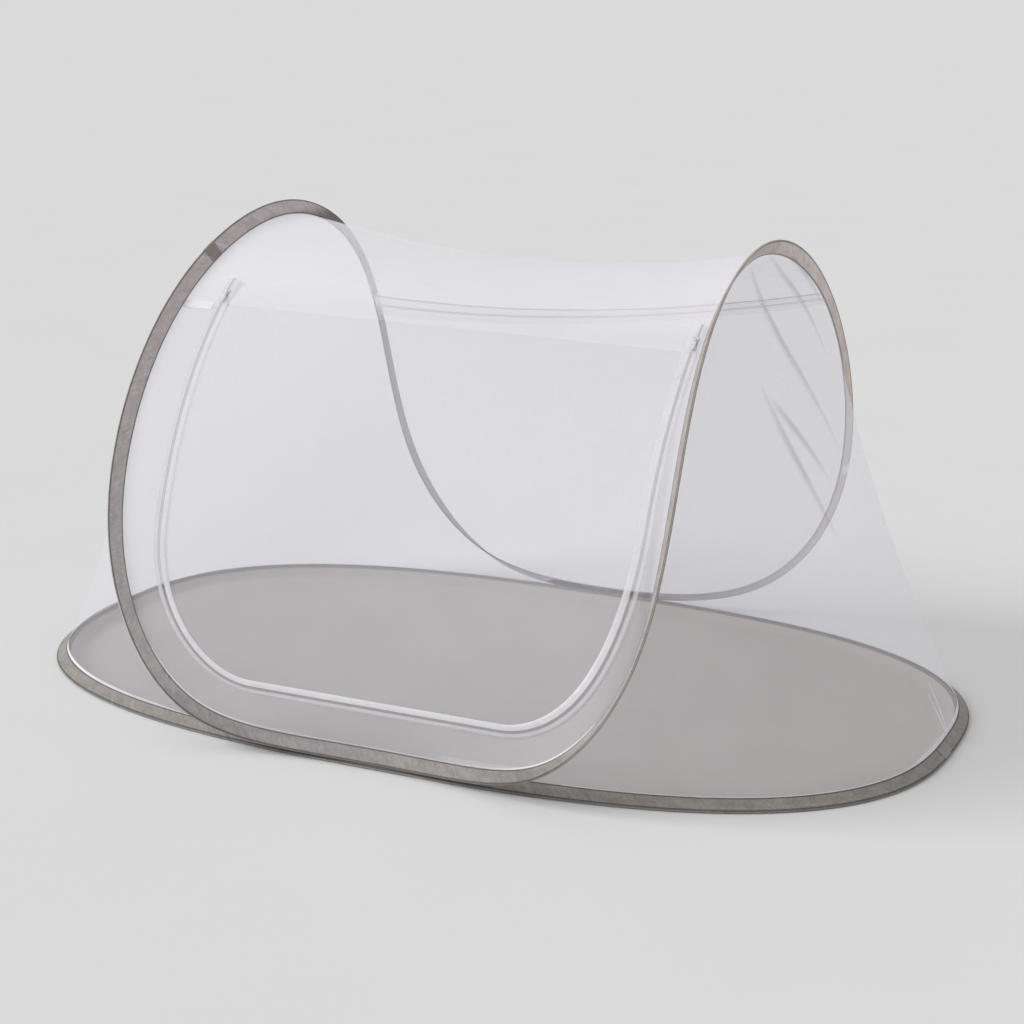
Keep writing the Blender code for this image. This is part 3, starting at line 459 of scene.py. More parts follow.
def stand_for(piece, node=None, body="root"):
    """Puts a piece on its body and hides the plain node that it stands for."""
    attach(piece, body)
    if node:
        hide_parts(node)


def grid_piece(name, grid, look, node=None, kind="sheet", body="root"):
    piece = put(name, grid_mesh(name, grid, LOOKS[look], kind))
    stand_for(piece, node, body)
    return piece


# Materials


class Value:
    """A number or colour that a node gives. Sums with it add nodes."""

    def __init__(self, finish, socket):
        self.finish, self.socket = finish, socket

    def __add__(self, other):
        return self.finish.math("ADD", self, other)

    def __mul__(self, other):
        return self.finish.math("MULTIPLY", self, other)

    def __sub__(self, other):
        return self.finish.math("SUBTRACT", self, other)

    def __rsub__(self, other):
        return self.finish.math("SUBTRACT", other, self)

    def ramp(self, low, high, to_low, to_high, kind="LINEAR"):
        inputs = {"Value": self, "From Min": low, "From Max": high, "To Min": to_low, "To Max": to_high}
        return self.finish.add("MapRange", inputs, interpolation_type=kind)

    def fade(self, low, high, to_low, to_high):
        return self.ramp(low, high, to_low, to_high, "SMOOTHSTEP")


class Finish:
    """A material or world made of nodes, whose kinds are named without their first part, ShaderNode."""

    def __init__(self, made, output="OutputMaterial"):
        made.use_nodes = True
        self.made, self.tree = made, made.node_tree
        self.tree.nodes.clear()
        self.output = self.tree.nodes.new("ShaderNode" + output)

    def add(self, kind, inputs=None, output=0, **settings):
        node = self.tree.nodes.new("ShaderNode" + kind)
        for key, value in settings.items():
            setattr(node, key, value)
        for key, value in (inputs or {}).items():
            socket = node.inputs[key]
            if isinstance(value, Value):
                self.tree.links.new(value.socket, socket)
            else:
                socket.default_value = (*value, 1.0) if socket.type == "RGBA" else value
        return Value(self, node.outputs[output])

    def math(self, operation, a, b=0.0):
        return self.add("Math", {0: a, 1: b}, operation=operation)

    def split(self, vector):
        """The three numbers of a vector."""
        first = self.add("SeparateXYZ", {0: vector})
        return [Value(self, socket) for socket in first.socket.node.outputs]

    def cloth(self):
        """The cloth's own coordinates in metres, together and as two numbers, along and across."""
        layer = self.add("UVMap", uv_map="cloth")
        return layer, *self.split(layer)[:2]

    def place(self):
        return self.add("TexCoord", output="Object")

    def high(self):
        return self.split(self.place())[2]

    def noise(self, vector, scale, detail=2.0, rough=0.55):
        """A cloud, at one scale or at one for each way."""
        if isinstance(scale, tuple):
            vector = self.add("VectorMath", {0: vector, 1: scale}, operation="MULTIPLY")
            scale = 1.0
        inputs = {"Vector": vector, "Scale": scale, "Detail": detail, "Roughness": rough}
        return self.add("TexNoise", inputs)

    def wave(self, value, pitch):
        """A sine of the given pitch in metres, from -1 to 1."""
        return self.math("SINE", value * (math.tau / pitch))

    def mix(self, share, a, b, blend="MIX"):
        inputs = {0: share, 6: a, 7: b}
        return self.add("Mix", inputs, output=2, data_type="RGBA", blend_type=blend)

    def tinted(self, paint, red, green=None, blue=None):
        """Paint times one number, or one for each colour."""
        tint = self.add("CombineColor", {0: red, 1: green or red, 2: blue or red})
        return self.mix(1.0, paint, tint, "MULTIPLY")

    def bump(self, height, strength):
        return self.add("Bump", {"Height": height, "Strength": strength, "Distance": 1.0})

    def finish(self, shader):
        self.tree.links.new(shader.socket, self.output.inputs["Surface"])
        return self.made

    def cover(self, inputs):
        return self.finish(self.add("BsdfPrincipled", inputs))


def new_finish(name):
    return Finish(bpy.data.materials.new(name))


def painted_light_and_shade(made, paint):
    """Painted shade and painted light on the cloth by place: painted shade near the ground, on the left back
    leg and on the right front leg, painted light on the right back leg and at the tops. Cooler near the ground.
    """
    across, deep, high = made.split(made.place())
    # painted shade: darker towards the ground
    low = high.fade(0.04, 0.18, 0.56, 1.0)
    # painted shade on the left back leg, with the next line
    back = deep.fade(-0.18, 0.1, 0.0, 0.7) * high.fade(0.93, 0.975, 1.0, 0.0)
    left = across.fade(-0.3, 0.1, 1.0, 0.0)
    # painted light: the right back leg paler
    right_back_light = across.fade(0.2, 0.4, 0.0, 0.22) * deep.fade(0.0, 0.25, 0.0, 1.0)
    # painted shade on the right front leg
    leg = across.fade(0.15, 0.4, 0.0, 0.3) * deep.fade(-0.35, -0.2, 1.0, 0.0)
    # painted light: the tops up to 4% brighter
    tone = low * (1.0 - back * left) * (right_back_light + 1.0) * (1.0 - leg) * high.fade(0.6, 0.95, 1.0, 1.04)
    warm = tone * high.fade(0.3, 0.85, 0.97, 1.01)
    blue = tone * across.fade(-0.2, 0.45, 1.03, 0.965)
    return made.tinted(paint, warm, tone, blue)


def woven_tape(name, light, dark, pitch, shade_lines=(), opacity=1.0, paint_light=False, thin_high=0.0):
    """Woven ribbon: a fine twill, uneven threads, slanted puckers and painted shade lines along its borders."""
    made = new_finish(name)
    layer, along, across = made.cloth()
    weave = made.wave(along + across, pitch) * 0.6 + made.wave(along, pitch * 1.3) * 0.4
    threads = made.noise(layer, (900.0, 60.0, 1.0))
    patches = made.noise(layer, (22.0, 50.0, 1.0), 5.0, 0.65)
    slanted = made.add("CombineXYZ", {0: along + across, 1: across})
    places = made.noise(layer, (16.0, 16.0, 1.0)).ramp(0.42, 0.62, 0.15, 1.0)
    puckers = (made.noise(slanted, (95.0, 26.0, 1.0), 4.0, 0.65) - 0.5) * places
    tone = threads * 0.35 + patches * 0.35 + puckers * 0.5
    paint = made.mix(tone.ramp(0.26, 0.44, 0.0, 1.0), dark, light)
    # painted shade: darker lines in the creases along the tape's borders
    for line, half in shade_lines:
        offset = made.math("ABSOLUTE", across - line)
        paint = made.tinted(paint, offset.fade(half * 0.3, half, 0.4, 1.0))
    # painted light and painted shade by place
    if paint_light:
        paint = painted_light_and_shade(made, paint)
    if thin_high:
        opacity = made.high().fade(0.22, 0.55, opacity, thin_high)
    return made.cover({
        "Base Color": made.tinted(paint, weave.ramp(-1.0, 1.0, 0.9, 1.03)),
        "Roughness": patches.ramp(0.3, 0.7, 0.62, 0.8),
        "Normal": made.bump(weave * 0.00003 + puckers * 0.003, 0.9),
        "Sheen Weight": 0.12,
        "Sheen Roughness": 0.4,
        "Specular IOR Level": 0.25,
        "Alpha": opacity,
    })


def floor_cloth():
    """Coated plain-weave cloth: squares of crossing threads, faint creases, slight soiling and a painted shade
    on its rim inside the base tape's mouth.
    """
    made = new_finish("floor_cloth")
    layer, along, across = made.cloth()
    weave = made.wave(along, 0.0016) * made.wave(across, 0.0016)
    threads = made.noise(layer, (40.0, 700.0, 1.0))
    cross = made.noise(layer, (700.0, 40.0, 1.0))
    patches = made.noise(layer, 5.0, 5.0, 0.6)
    creases = made.noise(layer, (9.0, 5.0, 1.0), 4.0)
    tone = threads * 0.3 + cross * 0.3 + patches * 0.4
    paint = made.mix(tone.ramp(0.36, 0.64, 0.0, 1.0), (0.318, 0.293, 0.268), (0.374, 0.346, 0.318))
    return made.cover({
        # painted shade: the rim that rises into the base tape's mouth is darkened
        "Base Color": made.tinted(paint, made.high().fade(0.0158, 0.0174, 1.0, 0.36)),
        "Roughness": patches.ramp(0.3, 0.7, 0.68, 0.85),
        "Normal": made.bump(weave * 0.00004 + creases * 0.003, 0.7),
        "Sheen Weight": 0.15,
        "Sheen Roughness": 0.5,
    })


def net_cloth(name, thread_alpha, hole_alpha, albedo, crown=0.0, through_share=0.36, feathered=False):
    """Knitted mosquito net: a honeycomb of fine white threads that light shines on and through.

    crown makes it denser over the arches' tops, and a feathered piece fades out towards its edges.
    """
    pitch = 0.0018
    made = new_finish(name)
    layer, along, across = made.cloth()
    slant = across * math.sqrt(3.0)
    cells = made.math("COSINE", along * (4 * math.pi / pitch))
    for way in (1.0, -1.0):
        cells = cells + made.math("COSINE", (along + slant * way) * (math.tau / pitch))
    tension = made.noise(layer, (6.0, 6.0, 1.0), 3.0)
    over = cells - tension.ramp(0.3, 0.7, -0.55, -0.25)
    alpha = over.fade(-0.35, 0.55, thread_alpha, hole_alpha)
    if crown:
        alpha = alpha + made.high().fade(0.845, 0.885, 0.0, crown)
    if feathered:
        shares = made.split(made.add("UVMap", uv_map="share"))
        for share, power in zip(shares, (0.6, 2.2)):
            fade = made.math("MAXIMUM", made.math("SINE", share * math.pi))
            alpha = alpha * made.math("POWER", fade, power)
    tint = np.array((1.0, 0.984, 1.075)) * albedo
    tone = made.mix(tension, tint * 0.95, np.minimum(tint, 0.97))
    lit = made.add("BsdfPrincipled", {
        "Base Color": tone,
        "Roughness": 0.75,
        "Normal": made.bump(made.wave(along, pitch / 2) * 0.00003, 0.5),
        "Sheen Weight": 0.6,
        "Sheen Roughness": 0.5,
        "Specular IOR Level": 0.2,
    })
    through = made.add("BsdfTranslucent", {"Color": tone})
    threads = made.add("MixShader", {0: through_share, 1: lit, 2: through})
    open_air = made.add("BsdfTransparent")
    return made.finish(made.add("MixShader", {0: alpha, 1: open_air, 2: threads}))


def thread_finish(name, tint):
    made = new_finish(name)
    twist = made.noise(made.place(), 900.0)
    paint = made.mix(twist, tint, [value * 0.8 for value in tint])
    return made.cover({"Base Color": paint, "Roughness": 0.55, "Normal": made.bump(twist, 0.0002)})


def metal_finish(name, tint, metallic, roughness, scratch):
    """Cast or drawn metal: fine scratches along it, cloudy shine and darker wear."""
    made = new_finish(name)
    place = made.place()
    scratches = made.noise(place, scratch, 3.0)
    wear = made.noise(place, 160.0, 3.0).ramp(0.35, 0.7, 0.0, 1.0)
    return made.cover({
        "Base Color": made.mix(wear, tint, [value * 0.82 for value in tint]),
        "Metallic": metallic,
        "Roughness": scratches.ramp(0.3, 0.7, roughness - 0.08, roughness + 0.12),
        "Normal": made.bump(scratches * 0.00004, 0.6),
    })


def coil_finish():
    """Moulded nylon thread of the zipper's teeth, slightly glossy."""
    made = new_finish("zipper_coil")
    clouds = made.noise(made.place(), 220.0)
    return made.cover({
        "Base Color": made.mix(clouds, (0.48, 0.48, 0.49), (0.6, 0.6, 0.62)),
        "Roughness": clouds.ramp(0.3, 0.7, 0.32, 0.48),
        "Normal": made.bump(clouds * 0.0001, 0.5),
        "Coat Weight": 0.15,
    })


# Pieces of the tent


def round_part(radius, turns):
    """Points of a tape's section round the wire, at turns from the side towards the back."""
    return [(-radius * math.sin(t), radius * math.cos(t)) for t in np.radians(turns)]


def tape_profile(reach, bulge):
    """The folded tape's section from one side of its mouth round the wire to the other.

    Each point is (along, sideways, give): give is how freely the cloth wrinkles there.
    """
    half = [
        (reach, TAPE_HALF * 0.85, 0.25),
        (reach - 0.0012, TAPE_HALF * 1.15, 0.2),
        (reach - SEW_INSET, TAPE_HALF * 0.7, 0.0),
        (reach - 0.0085, TAPE_HALF, 0.8),
        (reach * 0.5, TAPE_HALF * 1.1, 1.0),
        (bulge * 2.6, TAPE_HALF * 0.9, 0.7),
        (bulge * 1.35, bulge * 0.62, 0.2),
    ]
    back = [(*place, 0.05) for place in round_part(bulge, ROUND_TURNS)]
    hollow = bulge - TAPE_SKIN
    inner_side = TAPE_HALF * 0.85 - TAPE_SKIN
    inner = [
        (reach, -inner_side, 0.25),
        (bulge * 1.8, -inner_side, 0.2),
        (0.0, -hollow, 0.0),
        (-hollow, 0.0, 0.0),
        (0.0, hollow, 0.0),
        (bulge * 1.8, inner_side, 0.2),
        (reach, inner_side, 0.25),
    ]
    return np.array(half + back + [(a, -s, g) for a, s, g in half[::-1]] + inner)


def tape_grid(hoop, bulge, seed):
    """Points of a wrinkled tape all the way round a hoop."""
    total = hoop.total
    lengths = np.linspace(0.0, total, round(total / TAPE_STEP), endpoint=False)
    along, aside, give = tape_profile(hoop.reach, bulge).T
    fine = Ripples(seed, 0.06, 0.014, 10, 0.55)
    slow = Ripples(seed + 1, 0.8, 0.2, 5, 0.1)
    u = total / math.tau * np.sin(math.tau * lengths / total) + lengths
    strength = np.clip(0.45 + 1.6 * slow.at(lengths, 0.0), 0.12, 1.3)[:, None]
    shape = fine.at(u[:, None] + 0.31 * (aside > 0), along * 1.5)
    blend = np.clip(np.minimum(lengths, total - lengths) / 0.02, 0.0, 1.0)[:, None]
    ripple = TAPE_RIPPLE * 2.2 * shape * strength * give * blend
    return hoop.at(hoop.station_at(lengths)[:, None], along, aside + ripple)


def stitch_row(name, starts, ends, middles, width, lift, look):
    """Short raised stitches, each a spindle that dives into the cloth at both ends."""
    points = np.stack(
        [starts, middles + lift, middles + width, middles - lift * 0.4, middles - width, ends], axis=1
    )
    ring = ((1, 2), (2, 3), (3, 4), (4, 1))
    pattern = [face for here, there in ring for face in ((0, here, there), (5, there, here))]
    faces = (np.array(pattern) + 6 * np.arange(len(points))[:, None, None]).reshape(-1, 3)
    return put(name, smooth_mesh(name, points.reshape(-1, 3).tolist(), faces.tolist(), LOOKS[look]))


def tape_stitches(name, hoop):
    """The seam that closes the tape's mouth, seen on both of its faces."""
    count = round(hoop.total / STITCH_PITCH)
    middle = hoop.total * np.arange(count) / count
    station = hoop.station_at(middle)
    parts = []
    for face in (1.0, -1.0):
        skin = face * TAPE_HALF * 0.7
        places = [
            hoop.at(hoop.station_at(middle + shift), hoop.reach - SEW_INSET, skin - face * sink)
            for shift, sink in ((-STITCH_LENGTH / 2, THREAD), (STITCH_LENGTH / 2, THREAD), (0.0, -THREAD / 3))
        ]
        width = hoop.read(hoop.fin, station) * THREAD
        parts.append((*places, width, hoop.read(hoop.side, station) * face * THREAD))
    return stitch_row(name, *(np.concatenate(pair) for pair in zip(*parts)), "taupe_thread")


def tube_round(hoop, start, length, radius, sides, step):
    """Rings of a round bar that follows a hoop's wire from one place for a length."""
    stations = hoop.station_at(start + np.linspace(0.0, length, max(2, round(length / step)) + 1))
    turns = math.tau * np.arange(sides) / sides
    return hoop.at(stations[:, None], radius * np.cos(turns), radius * np.sin(turns))


def border_shade_lines(width, bulge):
    """Where the painted shade lines along a folded tape's borders lie, from its mouth round the wire, and their
    half widths.
    """
    across = walked(tape_profile(width - FOLD, bulge)[:, :2])
    return [(float(across[k]), half) for k, half in BORDER_SHADE_POINTS]


def build_hoop_pieces(hoop, name, bulge, seed, ferrule_station):
    tape = tape_grid(hoop, bulge, seed)
    grid_piece(f"{name}_tape", tape, f"{name}_tape", f"{name}_binding", "ring")
    stand_for(tape_stitches(f"{name}_stitching", hoop))
    start = hoop.length_at(ferrule_station)
    wire = tube_round(hoop, start + MODEL_GAP, hoop.total - 2 * MODEL_GAP, WIRE_RADIUS, 10, 0.006)
    grid_piece(f"{name}_spring_wire", wire, "steel", f"{name}_wire", "bar")
    tube, bore = (
        tube_round(hoop, start - FERRULE_LENGTH / 2, FERRULE_LENGTH, radius, 16, 0.0025)
        for radius in (FERRULE_RADIUS, WIRE_RADIUS + 0.0001)
    )
    shell = np.concatenate([tube, bore[::-1]])
    grid_piece(f"{name}_crimp_tube", shell, "steel", f"{name}_wire_ferrule", "ring")


def sag_way(points):
    """Unit ways from places to the inside of the tent, square to its length."""
    towards = np.zeros_like(points)
    towards[..., 1] = -points[..., 1]
    towards[..., 2] = SAG_CENTRE - points[..., 2]
    return unit(towards)


def span_grid(left, right, sag, parts):
    """Rows of net between two seams, each (tucked, out), with their middle sunk along sag."""
    parts = parts[None, :, None]
    slack = sag[:, None] * (4 * parts * (1 - parts))
    inner = left[1][:, None] + (right[1] - left[1])[:, None] * parts + slack
    return np.concatenate([left[0][:, None], inner, right[0][:, None]], axis=1)


def edge_distance(count):
    share = even_shares(count)
    return np.minimum(share, 1 - share)


def gather(grid, waves, height=NET_WAVE, seam_reach=0.1, ends=1.0):
    """Moves a net along its normals, in waves that die out where it is sewn in."""
    rows, columns = grid.shape[:2]
    u, v = np.meshgrid(walked(grid, 0)[:-1], walked(grid, 1)[:-1], indexing="ij")
    edge = np.minimum(edge_distance(rows)[:, None] * ends, edge_distance(columns))
    hold = np.clip(edge / seam_reach, 0.0, 1.0) ** 0.8
    return grid + grid_normals(grid) * (Ripples(*waves).at(u, v) * hold * height)[..., None]


def ease(count):
    """Shares from 0 to 1, a little closer together near both ends."""
    even = even_shares(count)
    return even - 0.1 * np.sin(math.tau * even) / 2


def roof_sag(stations):
    front = np.clip((stations - DOOR_STATION) / (QUARTER - DOOR_STATION), 0.0, 1.0)
    back = np.clip((stations - QUARTER) / (BACK_SEAM_STATION - QUARTER), 0.0, 1.0)
    rise = ROOF_SAG * np.sin(front * math.pi / 2) ** 2
    return rise + (BACK_SAG - ROOF_SAG) * np.sin(back * math.pi / 2) ** 2


def band_grid(arch, name, stations, sags):
    """Net between the right arch and the left arch at stations of the right one."""
    right = arch.seam(stations, -1.0)
    left = arch.seam(4 * QUARTER - stations, -1.0)
    _, columns, waves = NET_GRIDS[name]
    return gather(span_grid(right, left, sag_way(right[1]) * sags[:, None], ease(columns)), waves)


def build_roof_and_back(arch):
    last = BACK_SEAM_STATION
    stations = np.linspace(DOOR_STATION + SEAM_CLEAR, last, NET_GRIDS["roof"][0])
    roof = band_grid(arch, "roof", stations, roof_sag(stations))
    grid_piece("roof_netting", roof, "roof", "roof_net")
    stations = np.linspace(last, 2 * QUARTER - 0.12, NET_GRIDS["back"][0])
    share = (2 * QUARTER - stations) / (2 * QUARTER - last)
    back = band_grid(arch, "back", stations, BACK_SAG * share)
    back[0] = roof[-1]
    grid_piece("back_netting", back, "net", "back_net")
    return roof, back


def strip_piece(name, rows, ways, lift, thick, look, node=None):
    """A closed thin strip of tape that lies lifted over rows of points, which run along it."""
    ring = np.concatenate([rows + ways * (lift + thick), (rows + ways * lift)[::-1]])
    grid_piece(name, ring.transpose(1, 0, 2), look, node, "bar")


def build_back_band(roof, back):
    """The doubled band over the back seam, a thin grey strip along its top and its white fold."""
    join = np.concatenate([roof[-4:-1], back[:6]])[:, 1:-1]
    normals = grid_normals(join)
    normals = normals * np.sign(normals[4, 50, 1:].sum())
    lengths = walked(join[:, 50])[:-1]

    def rows_at(low, high, count):
        """Rows of points from low to high past the seam, and their ways out."""
        place = np.clip(lengths[3] + np.linspace(low, high, count), lengths[0], lengths[-1])
        k = np.minimum(np.searchsorted(lengths, place, side="right") - 1, len(lengths) - 2)
        part = ((place - lengths[k]) / (lengths[k + 1] - lengths[k]))[:, None, None]
        rows, ways = (blend(field[k], field[k + 1], part) for field in (join, normals))
        return rows, unit(ways)

    rows, ways = rows_at(*BAND_REACH, 7)
    grid_piece("back_band_cloth", rows + ways * BAND_LIFT, "band", "back_seam_band")
    strip_piece("back_band_top_line", *rows_at(*TOP_LINE_REACH, 4), *BAND_STRIP, "grey_tape")
    strip_piece("back_band_fold", *rows_at(*BAND_FOLD_REACH, 4), *BAND_STRIP, "white")


def build_end_net(side, first, arch, base):
    """The net from an arch down to the end of the base."""
    rows, columns, waves = NET_GRIDS[side]
    stations = np.linspace(first + 0.02, first + 2 * (QUARTER - JUNCTION) - 0.02, rows)
    high = arch.seam(stations, 1.0)
    low = base.seam(stations, -1.0)
    inward = unit(np.array((0.0, 0.0, SAG_CENTRE)) - (high[1] + low[1]) / 2)
    grid = gather(span_grid(high, low, inward * END_SAGS[side], ease(columns)), waves, END_WAVE)
    grid_piece(f"{side}_end_netting", grid, "net", f"{side}_end_net")
    return grid


def grid_point(field, row_share, column_share):
    """A value of a grid between its points, at shares of its rows and columns."""
    rows, columns = field.shape[:2]
    i = min(row_share, 0.9999) * (rows - 1)
    k = min(column_share, 0.9999) * (columns - 1)
    a, b = int(i), int(k)
    s, t = i - a, k - b
    near, far = (blend(field[row, b], field[row, b + 1], t) for row in (a, a + 1))
    return blend(near, far, s)


def build_fold(name, grid, path, width, height, look):
    """A soft fold that stands on a net along a path of grid shares and fades out all round."""
    places = smooth_curve(path, even_shares(FOLD_STEPS))
    points, normal = (
        np.array([grid_point(field, *place) for place in places]) for field in (grid, grid_normals(grid))
    )
    normal = unit(normal)
    normal = normal * np.sign(normal[:, 0].mean())
    aside = np.cross(unit(np.gradient(points, axis=0)), normal)
    fade = np.sin(math.pi * np.linspace(0.04, 0.96, FOLD_STEPS))[:, None, None] ** 0.3
    across = np.linspace(-1.0, 1.0, FOLD_WIDTH_STEPS)[None, :, None]
    up = height * np.cos(across * math.pi / 2) ** 2 * np.exp(-((across - 0.15) * 2.2) ** 2)
    moved = aside[:, None] * across * width / 2 + normal[:, None] * (up + NET_LAYER)
    mesh = grid_piece(name, points[:, None] + moved * fade, look).data
    corner = np.array([vertex for face in mesh.polygons for vertex in face.vertices])
    row, column = corner // FOLD_WIDTH_STEPS, corner % FOLD_WIDTH_STEPS
    lay_out(mesh, "share", np.stack([row / (FOLD_STEPS - 1), column / (FOLD_WIDTH_STEPS - 1)], axis=1))


def build_hem(side, grid):
    """The white tape sewn round the foot of an end net."""
    rows = grid[16:-16, 1:-1]
    normals = grid_normals(rows)
    outward = np.sign(normals[len(rows) // 2, -1, 0] * rows[len(rows) // 2, -1, 0])
    foot = rows[:, -1]
    first, last = HEM_WIDE_STATIONS[side]
    station = np.linspace(0.0, 2.0 * (QUARTER - JUNCTION), len(foot))
    shown = np.clip(np.minimum(station - first, last - station) / 1.5, 0.0, 1.0)
    width = HEM_NARROW + (HEM_WIDE - HEM_NARROW) * shown
    steps = np.array((0.02, 0.35, 0.7, 1.0))[:, None] * width
    strip = foot + unit(rows[:, -4] - foot) * steps[..., None]
    ways = normals[:, -2] * outward
    strip_piece(f"{side}_hem_cloth", strip, ways, *HEM_TAPE, "white", f"{side}_hem_tape")


def build_front(arch, door):
    """The net round the door, from the arches' tape to under the zipper's outer tape, its hem and its strip."""
    rows, columns, waves = NET_GRIDS["front"]
    stations = np.linspace(-DOOR_STATION + SEAM_CLEAR, DOOR_STATION - SEAM_CLEAR, rows)
    tucked, out = arch.seam(stations, -1.0)
    outer = TAPE_START + FRAME_TAPE_WIDTH
    inner = door.point(stations, outer - NET_UNDERLAP)
    clear = door.point(stations, outer + SLACK_PAST_TAPE)
    middle = out[:, None] + (clear - out)[:, None] * even_shares(columns)[None, :, None]
    grid = np.concatenate([tucked[:, None], middle, inner[:, None]], axis=1)
    grid = gather(grid, waves, FRONT_WAVE, 0.25, 4)
    grid_piece("front_netting", grid, "front_net", "front_net")
    normals = grid_normals(grid)
    run = np.abs(stations) < FRONT_HEM_STATION
    foot = grid[run, 1]
    steps = np.array((0.0, 0.4, 0.75, 1.0))[:, None, None] * FRONT_HEM_WIDTH
    ways = normals[run, 1] * -np.sign(normals[len(grid) // 2, 1, 1])
    strip_piece("front_hem_cloth", foot + unit(grid[run, 4] - foot) * steps, ways, *FRONT_HEM_TAPE, "white")
    top = grid[:6, 1:-2]
    normals = grid_normals(top)
    lower = top[0] + unit(top[5] - top[0]) * FRONT_STRIP_REACH[1]
    upper = top[0] + unit(top[0] - top[5]) * FRONT_STRIP_REACH[0]
    rows = upper + (lower - upper) * even_shares(4)[:, None, None]
    ways = normals[1] * np.sign(-normals[2, 8, 1])
    strip_piece("front_strip_cloth", rows, ways, *FRONT_STRIP_TAPE, "white", "front_seam_left")


def build_door(door):
    """The door's own net. Its sides run under the inner tape of the zipper."""
    under = TAPE_START + DOOR_TAPE_WIDTH - NET_UNDERLAP
    rows, columns, waves = NET_GRIDS["door"]
    away = np.linspace(DOOR_STATION, RUN_STATION + 0.0001, rows)
    start, end = (door.point(side * away, -under, 0.0, FOLD_GAP / 2) for side in (-1, 1))
    down = (door.edge(-away)[1] + door.edge(away)[1]) / 2
    parts = ease(columns)[None, :, None]
    grid = start[:, None] + (end - start)[:, None] * parts
    slack = 4 * parts[..., 0] * (1 - parts[..., 0]) * DOOR_SAG * np.sin(math.pi * down / door.length)[:, None]
    grid = grid + sag_way(grid) * np.clip(slack, 0.0, None)[..., None]
    grid = gather(grid, waves)
    grid_piece("door_netting", grid, "net", "door_net", body="door")


def zipper_tape(door, near, far, top, seed):
    """A woven tape beside the teeth, with round edges and a slight wave."""
    stations = door.even_stations(ZIPPER_STEP, top)
    rim = far - math.copysign(ZIPPER_RIM, far - near)
    middle = near + (far - near) * 0.5
    wide, out = np.array((
        (near, ZIPPER_LOW), (near, ZIPPER_HIGH), (middle, ZIPPER_HIGH + 0.0001), (rim, ZIPPER_HIGH),
        (far, ZIPPER_MIDDLE), (rim, ZIPPER_LOW), (middle, ZIPPER_LOW),
    )).T
    wave = Ripples(seed, 0.25, 0.04, 6, 0.05).at(np.arange(len(stations)) * ZIPPER_STEP, 0.0) * 0.0007
    rise = np.abs(wave)[:, None] * ((wide - near) / (far - near))
    return door.point(stations[:, None], wide, out + rise, top)


def zipper_teeth(door, side, top):
    """One side's coil: a nylon thread wound flat, its turns set between those of the other side."""
    stations = door.even_stations(TOOTH_PITCH / STEPS_PER_TURN, top)
    turn = math.tau * np.arange(len(stations)) / STEPS_PER_TURN + (math.pi if side < 0 else 0.0)
    half_wide = (COIL_END - TOOTH_NEAR) / 2 - TOOTH_THREAD / 2
    centre = TOOTH_NEAR + TOOTH_THREAD / 2 + half_wide
    half_high = COIL_HEIGHT / 2 - TOOTH_THREAD
    wide = side * (centre - half_wide * np.cos(turn))
    line = door.point(stations, wide, ZIPPER_MIDDLE + half_high * np.sin(turn), top)
    along = unit(np.gradient(line, axis=0))
    away = square_to(along, line - door.point(stations, side * centre, ZIPPER_MIDDLE, top))
    other = np.cross(along, away)
    turns = (math.tau * np.arange(3) / 3)[None, :, None]
    return line[:, None] + TOOTH_THREAD * (away[:, None] * np.cos(turns) + other[:, None] * np.sin(turns))


def zipper_stitches(name, door, wide, top):
    stations = door.even_stations(STITCH_PITCH / 2, top)
    starts, middles, ends = stations[:-2:2], stations[1:-1:2], stations[2::2]
    centre = door.point(middles, wide, ZIPPER_HIGH, top)
    short = 1 - STITCH_LENGTH / STITCH_PITCH
    first, last = (
        door.point(tip + (middles - tip) * short, wide, ZIPPER_HIGH - THREAD, top) for tip in (starts, ends)
    )
    lift = door.point(middles, wide, ZIPPER_HIGH + THREAD, top) - centre
    width = door.point(middles, wide + THREAD, ZIPPER_HIGH, top) - centre
    return stitch_row(name, first, last, centre + lift / 3, width, lift, "white_thread")


